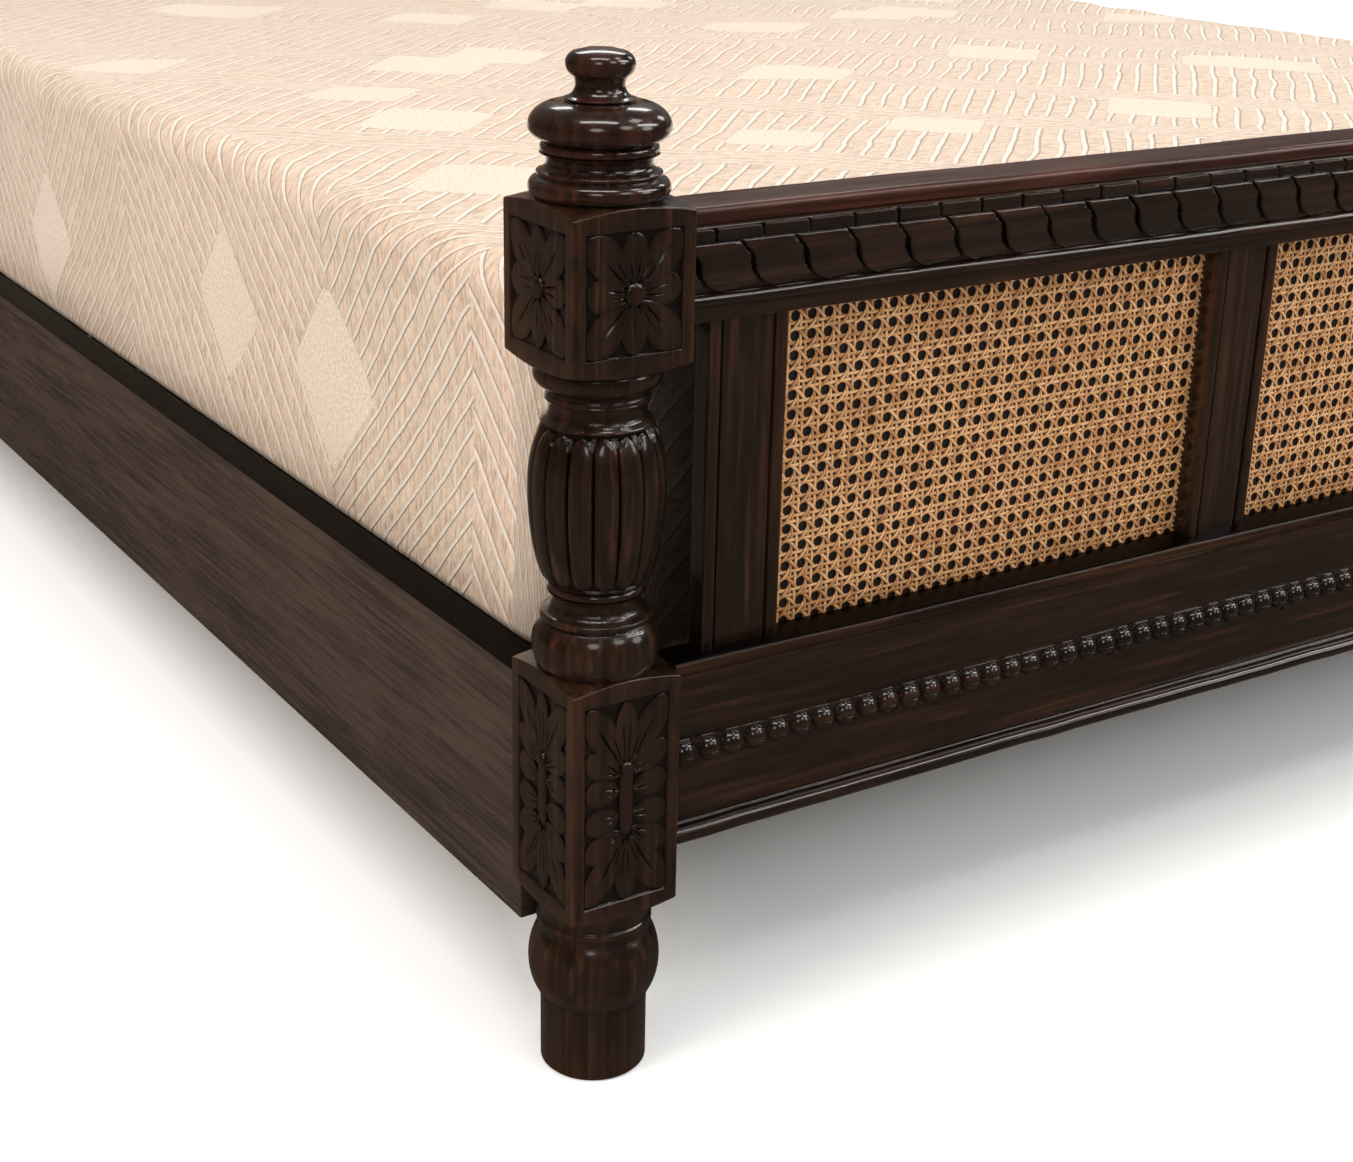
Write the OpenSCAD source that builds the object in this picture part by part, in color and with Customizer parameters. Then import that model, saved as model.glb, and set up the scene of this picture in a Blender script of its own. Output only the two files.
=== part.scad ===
// Four-post bed: turned and reeded posts, caned head and foot boards, plain side rails, slats, mattress.
// X runs across the bed, +Y towards the head, +Z up. The origin is on the floor under the middle.
// "Front" is the carved side of a post or a board. On both boards it looks towards -Y.

/* [Mattress] */
// Width of the mattress
mattress_w = 1524; // [1300:1:1980]
// Length of the mattress
mattress_l = 2032; // [1880:1:2150]
// Thickness of the mattress at its sides
mattress_h = 254; // [180:1:320]
// Rise of the crown at the middle of the top
mattress_crown = 6; // [0:1:20]
// Radius of the rolled long edges
mattress_edge_r = 26; // [12:1:50]
// Radius of the four upright corners
mattress_corner_r = 70; // [55:1:150]
// How far the sides are drawn in at half height
mattress_draw_in = 4; // [0:1:10]
// Room between the mattress and each side rail
mattress_side_gap = 11.5; // [6:0.5:25]
// Room between the mattress and the posts at each end
mattress_end_gap = 9.2; // [7:0.1:25]
// Height of the mattress's underside above the floor
mattress_z = 250; // [235:1:262]
// Clearance under the soft mattress
mattress_clearance = 0.3; // [0.2:0.1:1]

/* [Posts] */
// Side of the upper square blocks
block_w = 80.8; // [78:0.1:90]
// Height of the upper square blocks at their corners
block_h = 88.6; // [84:0.1:100]
// Side of the lower square block
low_block_w = 76.6; // [74:0.1:78]
// Height of the lower block at its corners
low_block_h = 154.3; // [150:0.1:158]
// Height of the lower block's bottom corners above the floor
low_block_z = 125; // [121:0.5:130]
// Height of the turned vase between the blocks, from corner to corner
vase_h = 196.4; // [180:0.2:230]
// How much taller the head posts are than the foot posts
head_rise = 500; // [350:1:700]
// How far a block's faces reach past its corners, where the lathe rounded them
shoulder = 4; // [2:0.5:5]
// Number of reeds round a vase
reed_count = 16; // [12:1:20]
// Width of the groove between two reeds
reed_groove_w = 2.4; // [1.5:0.1:3.5]
// Depth of the groove between two reeds
reed_groove_d = 3; // [1.5:0.1:4]
// Largest radius of the reeded vase
vase_r = 41.9; // [38:0.1:43]
// Radius of the plain foot
foot_r = 34.5; // [30:0.1:36]
// Height of the plain foot
foot_h = 50; // [40:1:60]
// Largest radius of the ball above the foot
ball_r = 42.4; // [38:0.1:44]
// Depth of the sunk field that holds a block's carving
field_d = 1.4; // [0.5:0.1:2.5]
// Plain border round a carved field
field_border = 8.5; // [6:0.1:12]

/* [Finials] */
// Largest radius of a finial
finial_r = 40.8; // [36:0.1:42]
// Radius of the knob on top
knob_r = 19.8; // [17:0.1:23]
// Radius of the dowel that holds a finial
dowel_r = 12.5; // [8:0.1:16]
// Length of the dowel
dowel_l = 30; // [20:1:45]
// Clearance round and under the dowel
dowel_clearance = 0.4; // [0.2:0.1:1]

/* [Boards] */
// Depth of the stiles' front face behind the posts' front
stile_y = 20; // [19:0.5:24]
// Thickness of the stiles
stile_t = 26; // [24:1:32]
// Width of every stile
stile_w = 57; // [45:1:70]
// Open gap between a post and the end stile
stile_gap = 23.7; // [12:0.1:40]
// Width of the two raised edge fillets of a stile
fillet_w = 8.5; // [6:0.1:12]
// Width of the groove beside each fillet
fillet_groove = 2; // [1:0.1:4]
// Width of the middle caned bay
centre_bay_w = 450; // [300:1:500]
// Height of the bottom rail's lower edge above the floor
low_rail_z = 160.6; // [140:0.1:170]
// Height of the ledge's underside, where the bottom rail ends
ledge_z = 273; // [268:1:276]
// Thickness of the ledge
ledge_t = 10; // [8:0.5:14]
// Depth of the ledge's nose behind the posts' front
ledge_y = 8; // [4:0.5:11]
// Depth of the bottom rail's face behind the posts' front
low_rail_y = 12; // [11.5:0.5:18]
// Thickness of the bottom rail
low_rail_t = 38; // [32:1:44]
// Height of the caned opening's upper edge above the floor
bay_top_z = 493; // [470:1:496]
// Depth of the top rail's face behind the posts' front
top_rail_y = 17; // [15:0.5:19]
// Height of the top rail
top_rail_h = 17; // [14:0.5:20]
// Height of the carved frieze
frieze_h = 39; // [36:0.5:42]
// Thickness of the cap
cap_t = 10; // [8:0.5:14]
// Depth of the cap's front edge behind the posts' front
cap_y = 24; // [18:0.5:30]
// Width of the cap from front to back
cap_w = 41; // [34:1:48]
// Length of the rails' tenons
tenon_l = 26; // [20:1:30]
// Thickness of every tenon
tenon_t = 12; // [10:0.5:12]
// Clearance of a tenon in its mortise, at the end and round it
tenon_clearance = 0.3; // [0.1:0.1:0.8]

/* [Carving] */
// Number of tongues along a frieze
tongue_count = 38; // [28:1:44]
// Width of the cut between two tongues
tongue_cut = 2.4; // [1.5:0.1:4]
// Height of the notched band above the tongues
notch_h = 8.5; // [7:0.5:10]
// How far the tongues stand out from the frieze board
tongue_relief = 6.5; // [4:0.5:8]
// Number of pearls along a rail
pearl_count = 82; // [60:1:84]
// Radius of a pearl
pearl_r = 7; // [5:0.1:7.5]
// Height of the string of pearls above the rail's lower edge
pearl_z = 59.5; // [40:0.5:75]
// Radius of the polished bead under the frieze
bead_r = 3.5; // [2.5:0.1:4]
// Height of the base moulding
base_h = 10.5; // [8:0.5:14]
// How far the base moulding stands out from the rail
base_out = 9.5; // [6:0.5:9.8]

/* [Caning] */
// Distance between the holes, three meshes of the real half-inch webbing
cane_pitch = 38.1; // [30:0.1:60]
// Distance across the flats of a hole
cane_hole = 23; // [8:0.1:26]
// Thickness of the webbing
cane_t = 1.6; // [1:0.1:3]
// Thickness of the dark panel behind the webbing
back_t = 6; // [4:0.5:9]
// How far webbing and panel reach under their frame
rebate = 7; // [5:0.5:9]
// Room between the webbing and the rebate's edges
rebate_clearance = 0.3; // [0.1:0.1:1]

/* [Side rails] */
// Depth of the rail's outer face behind the posts' outer side
rail_x = 7.5; // [4:0.5:12]
// Thickness of the side rail
rail_t = 28; // [24:1:34]
// Height of the side rail's lower edge above the floor
rail_z = 91.6; // [85:0.1:110]
// Height of the side rail
rail_h = 174; // [165:1:178]
// Thickness of the rail hardware's plates
plate_t = 3; // [2:0.5:4]
// Height of the rail hardware's plates
plate_h = 110; // [90:1:120]
// Width of the rail hardware's plates
plate_w = 20; // [16:1:22]
// How far the hooks reach into the post
hook_l = 14; // [10:1:18]
// Clearance of the hooks in their slots
hook_clearance = 0.5; // [0.3:0.1:1]

/* [Mattress support] */
// Number of slats
slat_count = 14; // [10:1:17]
// Width of a slat
slat_w = 70; // [50:1:90]
// Thickness of a slat
slat_t = 20; // [15:1:24]
// Gap between a slat's end and the side rail
slat_end_gap = 3; // [1:0.5:8]
// Width of the ledger that carries the slats
ledger_w = 25; // [20:1:30]
// Height of the ledger
ledger_h = 40; // [30:1:50]
// Width of the centre beam
beam_w = 32; // [25:1:45]
// Height of the centre beam
beam_h = 60; // [50:1:62]
// Radius of a centre leg
leg_r = 20; // [15:0.5:24]
// Distance of the centre legs from the middle of the bed
leg_y = 380; // [250:10:500]
// Thickness of the pads under the centre legs
pad_t = 6; // [4:0.5:10]
// Thickness of the beam hangers' steel
hanger_t = 3; // [2:0.5:4]
// Depth of the seat on which a hanger carries the beam
hanger_seat = 40; // [25:1:60]
// How far a hanger's back plate reaches past the beam on each side
hanger_wing = 20; // [10:1:40]
// Radius of the slat screws
screw_r = 2.2; // [1.5:0.1:3]
// Length of the slat screws
screw_l = 38; // [30:1:45]
// Clearance of a screw in its hole
screw_clearance = 0.3; // [0.2:0.05:0.5]

/* [Hidden] */
ROUND = 64;
ESPRESSO = [0.16, 0.09, 0.06];
DARK = [0.10, 0.06, 0.045];
RAIL = [0.23, 0.18, 0.14];
CANE = [0.82, 0.62, 0.38];
STAINED_PINE = [0.2, 0.15, 0.12];
STEEL = [0.55, 0.55, 0.56];
RUBBER = [0.10, 0.10, 0.10];
FABRIC = [0.93, 0.87, 0.80];
STEP = 0.01;

bed_w = mattress_w + 2 * (rail_x + rail_t + mattress_side_gap);
bed_l = mattress_l + 2 * (block_w + mattress_end_gap);
post_x = bed_w / 2 - block_w / 2;
post_y = bed_l / 2 - block_w / 2;
foot_front = -bed_l / 2;
head_front = bed_l / 2 - block_w;
low_set = (block_w - low_block_w) / 2;

low_block_top = low_block_z + low_block_h;
block_z = low_block_top + vase_h;
block_top = block_z + block_h;
head_block_z = block_z + head_rise;
head_block_top = head_block_z + block_h;

low_span = 2 * (post_x - low_block_w / 2);
top_span = 2 * (post_x - block_w / 2);
bay_low_z = ledge_z + ledge_t;
mid_rail_z = block_z;
mid_ledge_z = block_top - ledge_t;
mid_bay_low_z = mid_ledge_z + ledge_t;
stile_back = stile_y + stile_t;
stile_out = bed_w / 2 - block_w - stile_gap;
mid_stile_x = centre_bay_w / 2 + stile_w / 2;
side_bay_w = stile_out - stile_w - (centre_bay_w / 2 + stile_w);
side_bay_x = centre_bay_w / 2 + stile_w + side_bay_w / 2;
cane_y = stile_back - 3 - back_t - cane_t;
relief_y = top_rail_y + 1;
groove_d = 1.5;
rail_in_x = bed_w / 2 - rail_x - rail_t;
rail_end_y = post_y - low_block_w / 2;
slat_top = mattress_z - mattress_clearance;
slat_z = slat_top - slat_t;
plate_z = low_block_z + (min(low_block_top, rail_z + rail_h) - low_block_z - plate_h) / 2;
hook_t = 3;
hook_h = 28;
hook_drop = 10;
beam_end_y = bed_l / 2 - block_w + low_rail_y;
foot_beam_y = foot_front + low_rail_y + low_rail_t;

// Points along an elliptical arc round (cx, cz), from angle a0 to a1
function arc(cx, cz, rx, rz, a0, a1, n = 6) =
  [for (i = [0 : n]) let (a = a0 + (a1 - a0) * i / n) [cx + rx * cos(a), cz + rz * sin(a)]];

// Outline of the foot: plain cylinder, ball and collar, up to z_top under the block
function foot_outline(z_top) = concat(
  [[0, 0], [foot_r - 2, 0], [foot_r, 2], [foot_r, foot_h], [foot_r + 0.8, foot_h]],
  arc(ball_r - 20, foot_h + 27, 20, 32, -52, 0, 5),
  arc(ball_r - 20, foot_h + 27, 20, 32, 10, 47, 4),
  [[36, foot_h + 54], [37, foot_h + 55.5], [37, foot_h + 59], [35.5, foot_h + 60],
   [35.5, foot_h + 62], [36.5, z_top - 4], [37.5, z_top], [37.5, z_top + 2], [0, z_top + 2]]);

// Outline of the bulb of a vase between heights a and b, drawn in by d
function bulb_outline(a, b, d = 0) = let (low = 0.613 * (b - a), high = (b - a) - low, c = a + low)
  concat([[0, a]], arc(25, c, vase_r - 25 - d, low * 1.089, -66.7, 0, 6),
         arc(25, c, vase_r - 25 - d, high * 1.132, 14, 62, 4), [[0, b]]);

vase_base = 55;
vase_neck = 36;

// Outline of a whole vase from z0, on one block, to z1, under the next, with the bulb drawn in by d
function vase_outline(z0, z1, d) = concat(
  [[0, z0 - 2], [36.5, z0 - 2]],
  arc(28.6, z0 + 13, 11, 18, -50, 70, 8),
  [[34.5, z0 + 31], [34.5, z0 + 34], [33.2, z0 + 34.5]],
  arc(33.4, z0 + 42, 6.4, 7, 270, 120, 6),
  arc(26.5, z0 + 50, 2.8, 3, -80, 80, 5),
  [for (p = bulb_outline(z0 + vase_base, z1 - vase_neck, d)) if (p[0] > 0) p],
  [[33.6, z1 - vase_neck + 0.5], [34.2, z1 - 34], [33.4, z1 - 33]],
  arc(34, z1 - 26, 4.6, 6.5, 250, 120, 5),
  [[31.2, z1 - 19.5], [31.2, z1 - 17.5], [30.4, z1 - 17], [30.4, z1 - 15.5]],
  arc(31.5, z1 - 5, 7.2, 8, -75, 50, 6),
  [[36, z1 + 2], [0, z1 + 2]]);

// Outline of a finial that stands on z = 0
function finial_outline() = concat(
  [[0, 0], [37.5, 0]],
  arc(finial_r - 5.9, 5.9, 5.9, 5.9, -60, 70, 6),
  [[35.2, 12.2], [36, 13.5], [36, 14.8]],
  arc(36.5, 20, 6.1, 5, 250, 110, 5),
  [[33.4, 24.6], [33.4, 30.2], [32, 30.8]],
  arc(22, 39.2, finial_r - 22, 9.5, -60, 0, 4),
  arc(22, 39.2, finial_r - 22, 14, 14, 88, 6),
  [[17.5, 52.6], [17.5, 53.4], [20.6, 53.8], [20.6, 54.8]],
  arc(21.5, 62, 7.4, 7.2, 260, 130, 6),
  arc(knob_r - 8, 73, 8, 7.6, -50, 62, 7),
  [[9, 81.4], [0, 82]]);

module turned(outline) {
  rotate_extrude($fn = ROUND) polygon(outline);
}

// Square block between the corner heights z0 and z1, its ends rounded on the lathe
module block(w, z0, z1) {
  reach = w / sqrt(2) + 1;
  slope = shoulder / (w / sqrt(2) - w / 2);
  drop = slope * (reach - w / 2);
  intersection() {
    translate([-w / 2, -w / 2, z0 - shoulder]) cube([w, w, z1 - z0 + 2 * shoulder]);
    turned([[0, z0 - shoulder], [w / 2, z0 - shoulder], [reach, z0 - shoulder + drop],
            [reach, z1 + shoulder - drop], [w / 2, z1 + shoulder], [0, z1 + shoulder]]);
  }
}

// Turned vase with its reeds, between the mid-edge heights z0 and z1
module vase(z0, z1) {
  turned(vase_outline(z0, z1, reed_groove_d));
  difference() {
    turned(bulb_outline(z0 + vase_base, z1 - vase_neck));
    for (i = [0 : reed_count - 1])
      rotate([0, 0, (i + 0.5) * 360 / reed_count])
        translate([18, -reed_groove_w / 2, z0]) cube([30, reed_groove_w, z1 - z0]);
  }
}

// Cuts the sunk field of a carving into the front and the outer side of a block
module carved_fields(w, z0, z1, side) {
  wide = w - 2 * field_border;
  tall = z1 - z0 - 2 * field_border;
  translate([-wide / 2, -w / 2 - 1, z0 + field_border]) cube([wide, field_d + 1, tall]);
  translate([side > 0 ? w / 2 - field_d : -w / 2 - 1, -wide / 2, z0 + field_border])
    cube([field_d + 1, wide, tall]);
}

// Mortise in the inner side of a post for a rail tenon between the heights z0 and z1
module post_mortise(w, y, z0, z1, side) {
  c = tenon_clearance;
  deep = tenon_l + c;
  translate([side > 0 ? -w / 2 - 1 : w / 2 - deep, y - block_w / 2 - c, z0 - c])
    cube([deep + 1, tenon_t + 2 * c, z1 - z0 + 2 * c]);
}

// Seat and slots for the rail hardware in the face of the lower block that meets the side rail
module hook_seat(side, back) {
  x = side * (block_w / 2 - rail_x - rail_t / 2);
  y = back * low_block_w / 2;
  translate([x - plate_w / 2, back > 0 ? y - plate_t : y - 1, plate_z])
    cube([plate_w, plate_t + 1, plate_h]);
  for (z = [hook_low(), hook_high()])
    translate([x - hook_t / 2 - hook_clearance, back > 0 ? y - hook_l - 2 : y,
               z - hook_drop - hook_clearance])
      cube([hook_t + 2 * hook_clearance, hook_l + 2, hook_h + hook_drop + 2 * hook_clearance]);
}

function hook_low() = plate_z + 14;
function hook_high() = plate_z + plate_h - 14 - hook_h;

// A whole post. side is +1 on the right of the bed, back is +1 where its rear face takes the side rail
module post(side, back, tall) {
  color(ESPRESSO) translate([side * post_x, -back * post_y, 0])
    difference() {
      union() {
        turned(foot_outline(low_block_z - shoulder));
        block(low_block_w, low_block_z, low_block_top);
        vase(low_block_top + shoulder, block_z - shoulder);
        block(block_w, block_z, block_top);
        if (tall) {
          vase(block_top + shoulder, head_block_z - shoulder);
          block(block_w, head_block_z, head_block_top);
        }
      }
      carved_fields(low_block_w, low_block_z, low_block_top, side);
      carved_fields(block_w, block_z, block_top, side);
      if (tall) carved_fields(block_w, head_block_z, head_block_top, side);
      hook_seat(side, back);
      post_mortises(side, tall);
      translate([0, 0, (tall ? head_block_top : block_top) + shoulder - dowel_l - dowel_clearance])
        cylinder(r = dowel_r + dowel_clearance, h = dowel_l + 10, $fn = ROUND);
    }
}

// Heights between which a tenon stands: low, high
low_tenon = [low_rail_z + 20, ledge_z - 20];
mid_tenon = [mid_rail_z + 14, mid_ledge_z - 10];
function frieze_tenon(rise) = [bay_top_z + rise + 3, bay_top_z + rise + top_rail_h + frieze_h - 8];
low_tenon_y = low_rail_y + (low_rail_t - tenon_t) / 2;
top_tenon_y = top_rail_y + 12;

module post_mortises(side, tall) {
  post_mortise(low_block_w, low_tenon_y, low_tenon[0], low_tenon[1], side);
  if (tall) {
    post_mortise(block_w, low_tenon_y, mid_tenon[0], mid_tenon[1], side);
    post_mortise(block_w, top_tenon_y, frieze_tenon(head_rise)[0], frieze_tenon(head_rise)[1], side);
  } else {
    post_mortise(block_w, top_tenon_y, frieze_tenon(0)[0], frieze_tenon(0)[1], side);
  }
}

module finial(side, back, z) {
  color(ESPRESSO) translate([side * post_x, -back * post_y, z + shoulder]) {
    turned(finial_outline());
    translate([0, 0, -dowel_l]) cylinder(r = dowel_r, h = dowel_l + 1, $fn = ROUND);
  }
}

// Bar across the bed, its section a list of [depth, height] points
module moulding(span, section) {
  translate([-span / 2, 0, 0]) rotate([90, 0, 90]) linear_extrude(span) polygon(section);
}

// Plain bar between two depths and two heights
module bar(span, y0, y1, z0, z1) {
  translate([-span / 2, y0, z0]) cube([span, y1 - y0, z1 - z0]);
}

// The two tenons of a rail
module tenons(span, y, heights) {
  for (side = [-1, 1])
    translate([side > 0 ? span / 2 - 1 : -span / 2 - tenon_l, y, heights[0]])
      cube([tenon_l + 1, tenon_t, heights[1] - heights[0]]);
}

// Cap with a rounded nose, on top of the frieze at height z
module cap(z) {
  r = cap_t / 2 - 1;
  color(ESPRESSO) moulding(top_span, concat(
    [[cap_y + cap_w, z], [cap_y + cap_w, z + cap_t - 2], [cap_y + cap_w - 2, z + cap_t]],
    arc(cap_y + r, z + cap_t - r, r, r, 90, 180, 5), [[cap_y, z]]));
}

// One tongue in its own plane: straight sides that draw in, and a round tip
function tongue_shape(w, h) = concat(
  [[-w / 2, h], [-w / 2 + 1.2, h * 0.72]], arc(0, h * 0.4, w / 2 - 0.3, h * 0.4, 180, 360, 10),
  [[w / 2 - 1.2, h * 0.72], [w / 2, h]]);

// Carved frieze: a board with a notched band over a row of tongues, standing on height z
module frieze(z) {
  pitch = top_span / tongue_count;
  tongue_h = frieze_h - notch_h;
  out = relief_y - tongue_relief;
  color(ESPRESSO) {
    bar(top_span, relief_y, stile_back, z, z + frieze_h);
    intersection() {
      moulding(top_span, concat([[relief_y + 1, z], [relief_y - 1, z]],
        arc(relief_y - 1, z + tongue_h * 0.8, tongue_relief - 1, tongue_h * 0.8, 270, 180, 6),
        [[out, z + tongue_h - 0.5], [out + 1.5, z + tongue_h], [relief_y + 1, z + tongue_h]]));
      for (i = [0 : tongue_count - 1])
        translate([-top_span / 2 + (i + 0.5) * pitch, relief_y + 1, z])
          rotate([90, 0, 0]) linear_extrude(tongue_relief + 2)
            polygon(tongue_shape(pitch - tongue_cut, tongue_h));
    }
    for (i = [0 : tongue_count - 1])
      translate([-top_span / 2 + i * pitch + tongue_cut / 2, out + 3, z + tongue_h])
        cube([pitch - tongue_cut, tongue_relief - 3 + STEP, notch_h - 1.5]);
    tenons(top_span, top_tenon_y, [z, z + frieze_h - 8]);
  }
}

// Polished half-round bead on the top rail's face
module bead(z) {
  color(ESPRESSO) translate([-top_span / 2, top_rail_y, z])
    rotate([0, 90, 0]) intersection() {
      cylinder(r = bead_r, h = top_span, $fn = ROUND);
      translate([-bead_r, -bead_r, 0]) cube([2 * bead_r, bead_r, top_span]);
    }
}

// Top rail of the caned frame, its back cut away over the webbing and its ends tenoned
module top_rail(rise) {
  z = bay_top_z + rise;
  color(ESPRESSO) difference() {
    union() {
      bar(top_span, top_rail_y, stile_back, z, z + top_rail_h);
      tenons(top_span, top_tenon_y, [frieze_tenon(rise)[0], z + top_rail_h]);
    }
    for (x = [-mid_stile_x, mid_stile_x, -stile_out + stile_w / 2, stile_out - stile_w / 2])
      translate([x - stile_w / 2 - STEP, cane_y, z - 1])
        cube([stile_w + 2 * STEP, stile_back - cane_y + 1, rebate + 1]);
    bay_rebates(z - 1, z + rebate);
  }
}

// Space behind the frame, between two heights, for the webbing of the three bays and their panels
module bay_rebates(z0, z1) {
  for (bay = BAYS)
    translate([bay[0] - bay[1] / 2 - rebate, cane_y, z0])
      cube([bay[1] + 2 * rebate, stile_back - cane_y + 1, z1 - z0]);
}

BAYS = [[-side_bay_x, side_bay_w], [0, centre_bay_w], [side_bay_x, side_bay_w]];

// Ledge with a rounded nose in front of the webbing's lower edge
module ledge(span, z) {
  color(ESPRESSO) moulding(span, concat(
    [[cane_y, z], [cane_y, z + ledge_t]],
    arc(ledge_y + 3, z + ledge_t - 3, 3, 3, 90, 180, 4), [[ledge_y, z + 3], [ledge_y + 2, z]]));
}

// Deep rail between two heights, with its mortises for the stiles' lower tenons
module deep_rail(span, z0, z1, tenon_heights, mortised) {
  c = tenon_clearance;
  color(ESPRESSO) difference() {
    union() {
      bar(span, low_rail_y, low_rail_y + low_rail_t, z0, z1);
      tenons(span, low_tenon_y, tenon_heights);
    }
    if (mortised)
      for (x = [-mid_stile_x, mid_stile_x, -stile_out + stile_w / 2, stile_out - stile_w / 2])
        translate([x - stile_tenon_w / 2 - c, cane_y - c, z1 - stile_tenon_l - c])
          cube([stile_tenon_w + 2 * c, stile_back - cane_y + 2 * c, stile_tenon_l + 2 * c]);
  }
}

stile_tenon_w = 36;
stile_tenon_l = 18;

// String of pearls half sunk in a narrow strip on a rail's face, centred on height z
module pearls(span, z) {
  pitch = span / pearl_count;
  strip = 2;
  color(ESPRESSO) {
    bar(span, low_rail_y - strip, low_rail_y, z - pearl_r - 1.5, z + pearl_r + 1.5);
    intersection() {
      for (i = [0 : pearl_count - 1])
        translate([-span / 2 + (i + 0.5) * pitch, low_rail_y - strip + 1, z]) sphere(r = pearl_r, $fn = 24);
      bar(span, low_rail_y - strip - pearl_r, low_rail_y - strip + 0.5, z - pearl_r - 1, z + pearl_r + 1);
    }
  }
}

// Rounded base moulding along a rail's lower edge at height z
module base_moulding(span, z) {
  out = low_rail_y - base_out;
  r = base_h / 2;
  color(ESPRESSO) moulding(span, concat(
    [[low_rail_y, z], [low_rail_y, z + base_h], [low_rail_y - 3, z + base_h]],
    arc(out + r, z + r, r, r, 90, 270, 8), [[out + r, z]]));
}

// Stile between the ledge at z0 and the top rail at z1, with raised fillets along its edges
module stile(x, z0, z1) {
  color(ESPRESSO) translate([x, 0, 0]) {
    difference() {
      translate([-stile_w / 2, stile_y, z0]) cube([stile_w, stile_t, z1 - z0]);
      for (side = [-1, 1])
        translate([side * (stile_w / 2 - fillet_w - fillet_groove / 2) - fillet_groove / 2,
                   stile_y - 1, z0 - 1])
          cube([fillet_groove, groove_d + 1 + 1.5, z1 - z0 + 2]);
      translate([-stile_w / 2 + fillet_w, stile_y - 1, z0 - 1])
        cube([stile_w - 2 * fillet_w, groove_d + 1, z1 - z0 + 2]);
      for (side = [-1, 1])
        translate([side > 0 ? stile_w / 2 - rebate : -stile_w / 2 - 1, cane_y, z0 - 1])
          cube([rebate + 1, stile_back - cane_y + 1, z1 - z0 + 2]);
    }
    translate([-stile_tenon_w / 2, cane_y, z0 - ledge_t - stile_tenon_l])
      cube([stile_tenon_w, stile_back - cane_y, ledge_t + stile_tenon_l + 1]);
    translate([-stile_w / 2 + rebate, cane_y, z1 - 1])
      cube([stile_w - 2 * rebate, stile_back - cane_y, rebate + 1]);
  }
}

// Flat piece in the rebate of a bay: [centre, width], between the opening's heights z0 and z1.
// Its holes, if any, are the children, drawn round the middle of the opening.
module bay_sheet(bay, z0, z1, y, t) {
  c = rebate_clearance;
  translate([0, y + t, 0]) rotate([90, 0, 0]) linear_extrude(t) difference() {
    translate([bay[0] - bay[1] / 2 - rebate + c, z0 - ledge_t])
      square([bay[1] + 2 * (rebate - c), z1 - z0 + ledge_t + rebate - c]);
    translate([bay[0], (z0 + z1) / 2]) children();
  }
}

// Cane webbing of a bay with its rows of eight-sided holes
module cane(bay, z0, z1) {
  cols = floor((bay[1] - cane_pitch * 0.3) / cane_pitch);
  rows = floor((z1 - z0 - cane_pitch * 0.3) / cane_pitch);
  color(CANE) bay_sheet(bay, z0, z1, cane_y, cane_t)
    for (i = [0 : cols - 1], j = [0 : rows - 1])
      translate([(i - (cols - 1) / 2) * cane_pitch, (j - (rows - 1) / 2) * cane_pitch])
        rotate(22.5) circle(r = cane_hole / 2 / cos(22.5), $fn = 8);
}

// Dark panel that closes a bay behind its webbing
module backing(bay, z0, z1) {
  color(DARK) translate([bay[0] - bay[1] / 2 - rebate + rebate_clearance, cane_y + cane_t, z0 - ledge_t])
    cube([bay[1] + 2 * (rebate - rebate_clearance), back_t,
          z1 - z0 + ledge_t + rebate - rebate_clearance]);
}

// Puts a piece of a board behind the fronts of its posts
module on_foot() {
  translate([0, foot_front, 0]) children();
}

module on_head() {
  translate([0, head_front, 0]) children();
}

// Side rail, scribed round the turned balls, with its ends cut for the hook plates
module side_rail(side) {
  c = 1;
  x0 = side > 0 ? rail_in_x : -rail_in_x - rail_t;
  color(RAIL) difference() {
    translate([x0, -rail_end_y, rail_z]) cube([rail_t, 2 * rail_end_y, rail_h]);
    for (back = [-1, 1]) {
      translate([side * post_x, back * post_y, rail_z - 1])
        cylinder(r = ball_r + c, h = low_block_z - shoulder - rail_z + 1, $fn = ROUND);
      translate([side * (rail_in_x + rail_t / 2) - plate_w / 2, back > 0 ? rail_end_y - plate_t
                 : -rail_end_y - 1, plate_z])
        cube([plate_w, plate_t + 1, plate_h]);
    }
  }
}

// Hook plate in the end of a side rail: a plate with two hooks that reach into the post
module hook_plate() {
  translate([-plate_w / 2, -plate_t, plate_z]) cube([plate_w, plate_t, plate_h]);
  for (z = [hook_low(), hook_high()])
    translate([-hook_t / 2, 0, z]) rotate([90, 0, 90]) linear_extrude(hook_t)
      polygon([[-1, 0], [hook_l - 6, 0], [hook_l - 6, -hook_drop], [hook_l, -hook_drop],
               [hook_l, hook_h - 6], [hook_l - 6, hook_h], [-1, hook_h]]);
}

// Slotted catch plate in the post's face
module catch_plate() {
  c = hook_clearance;
  difference() {
    translate([-plate_w / 2, 0, plate_z]) cube([plate_w, plate_t, plate_h]);
    for (z = [hook_low(), hook_high()])
      translate([-hook_t / 2 - c, -1, z - hook_drop - c])
        cube([hook_t + 2 * c, plate_t + 2, hook_h + hook_drop + 2 * c]);
  }
}

// Repeats a piece of rail hardware at the four joints, its +Y pointing into the post
module at_rail_joints() {
  for (side = [-1, 1], back = [-1, 1])
    translate([side * (rail_in_x + rail_t / 2), back * rail_end_y, 0])
      rotate([0, 0, back > 0 ? 0 : 180]) children();
}

module ledger(side) {
  color(STAINED_PINE) difference() {
    translate([side > 0 ? rail_in_x - ledger_w : -rail_in_x, -rail_end_y, slat_z - ledger_h])
      cube([ledger_w, 2 * rail_end_y, ledger_h]);
    slat_screw_holes(side);
  }
}

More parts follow.
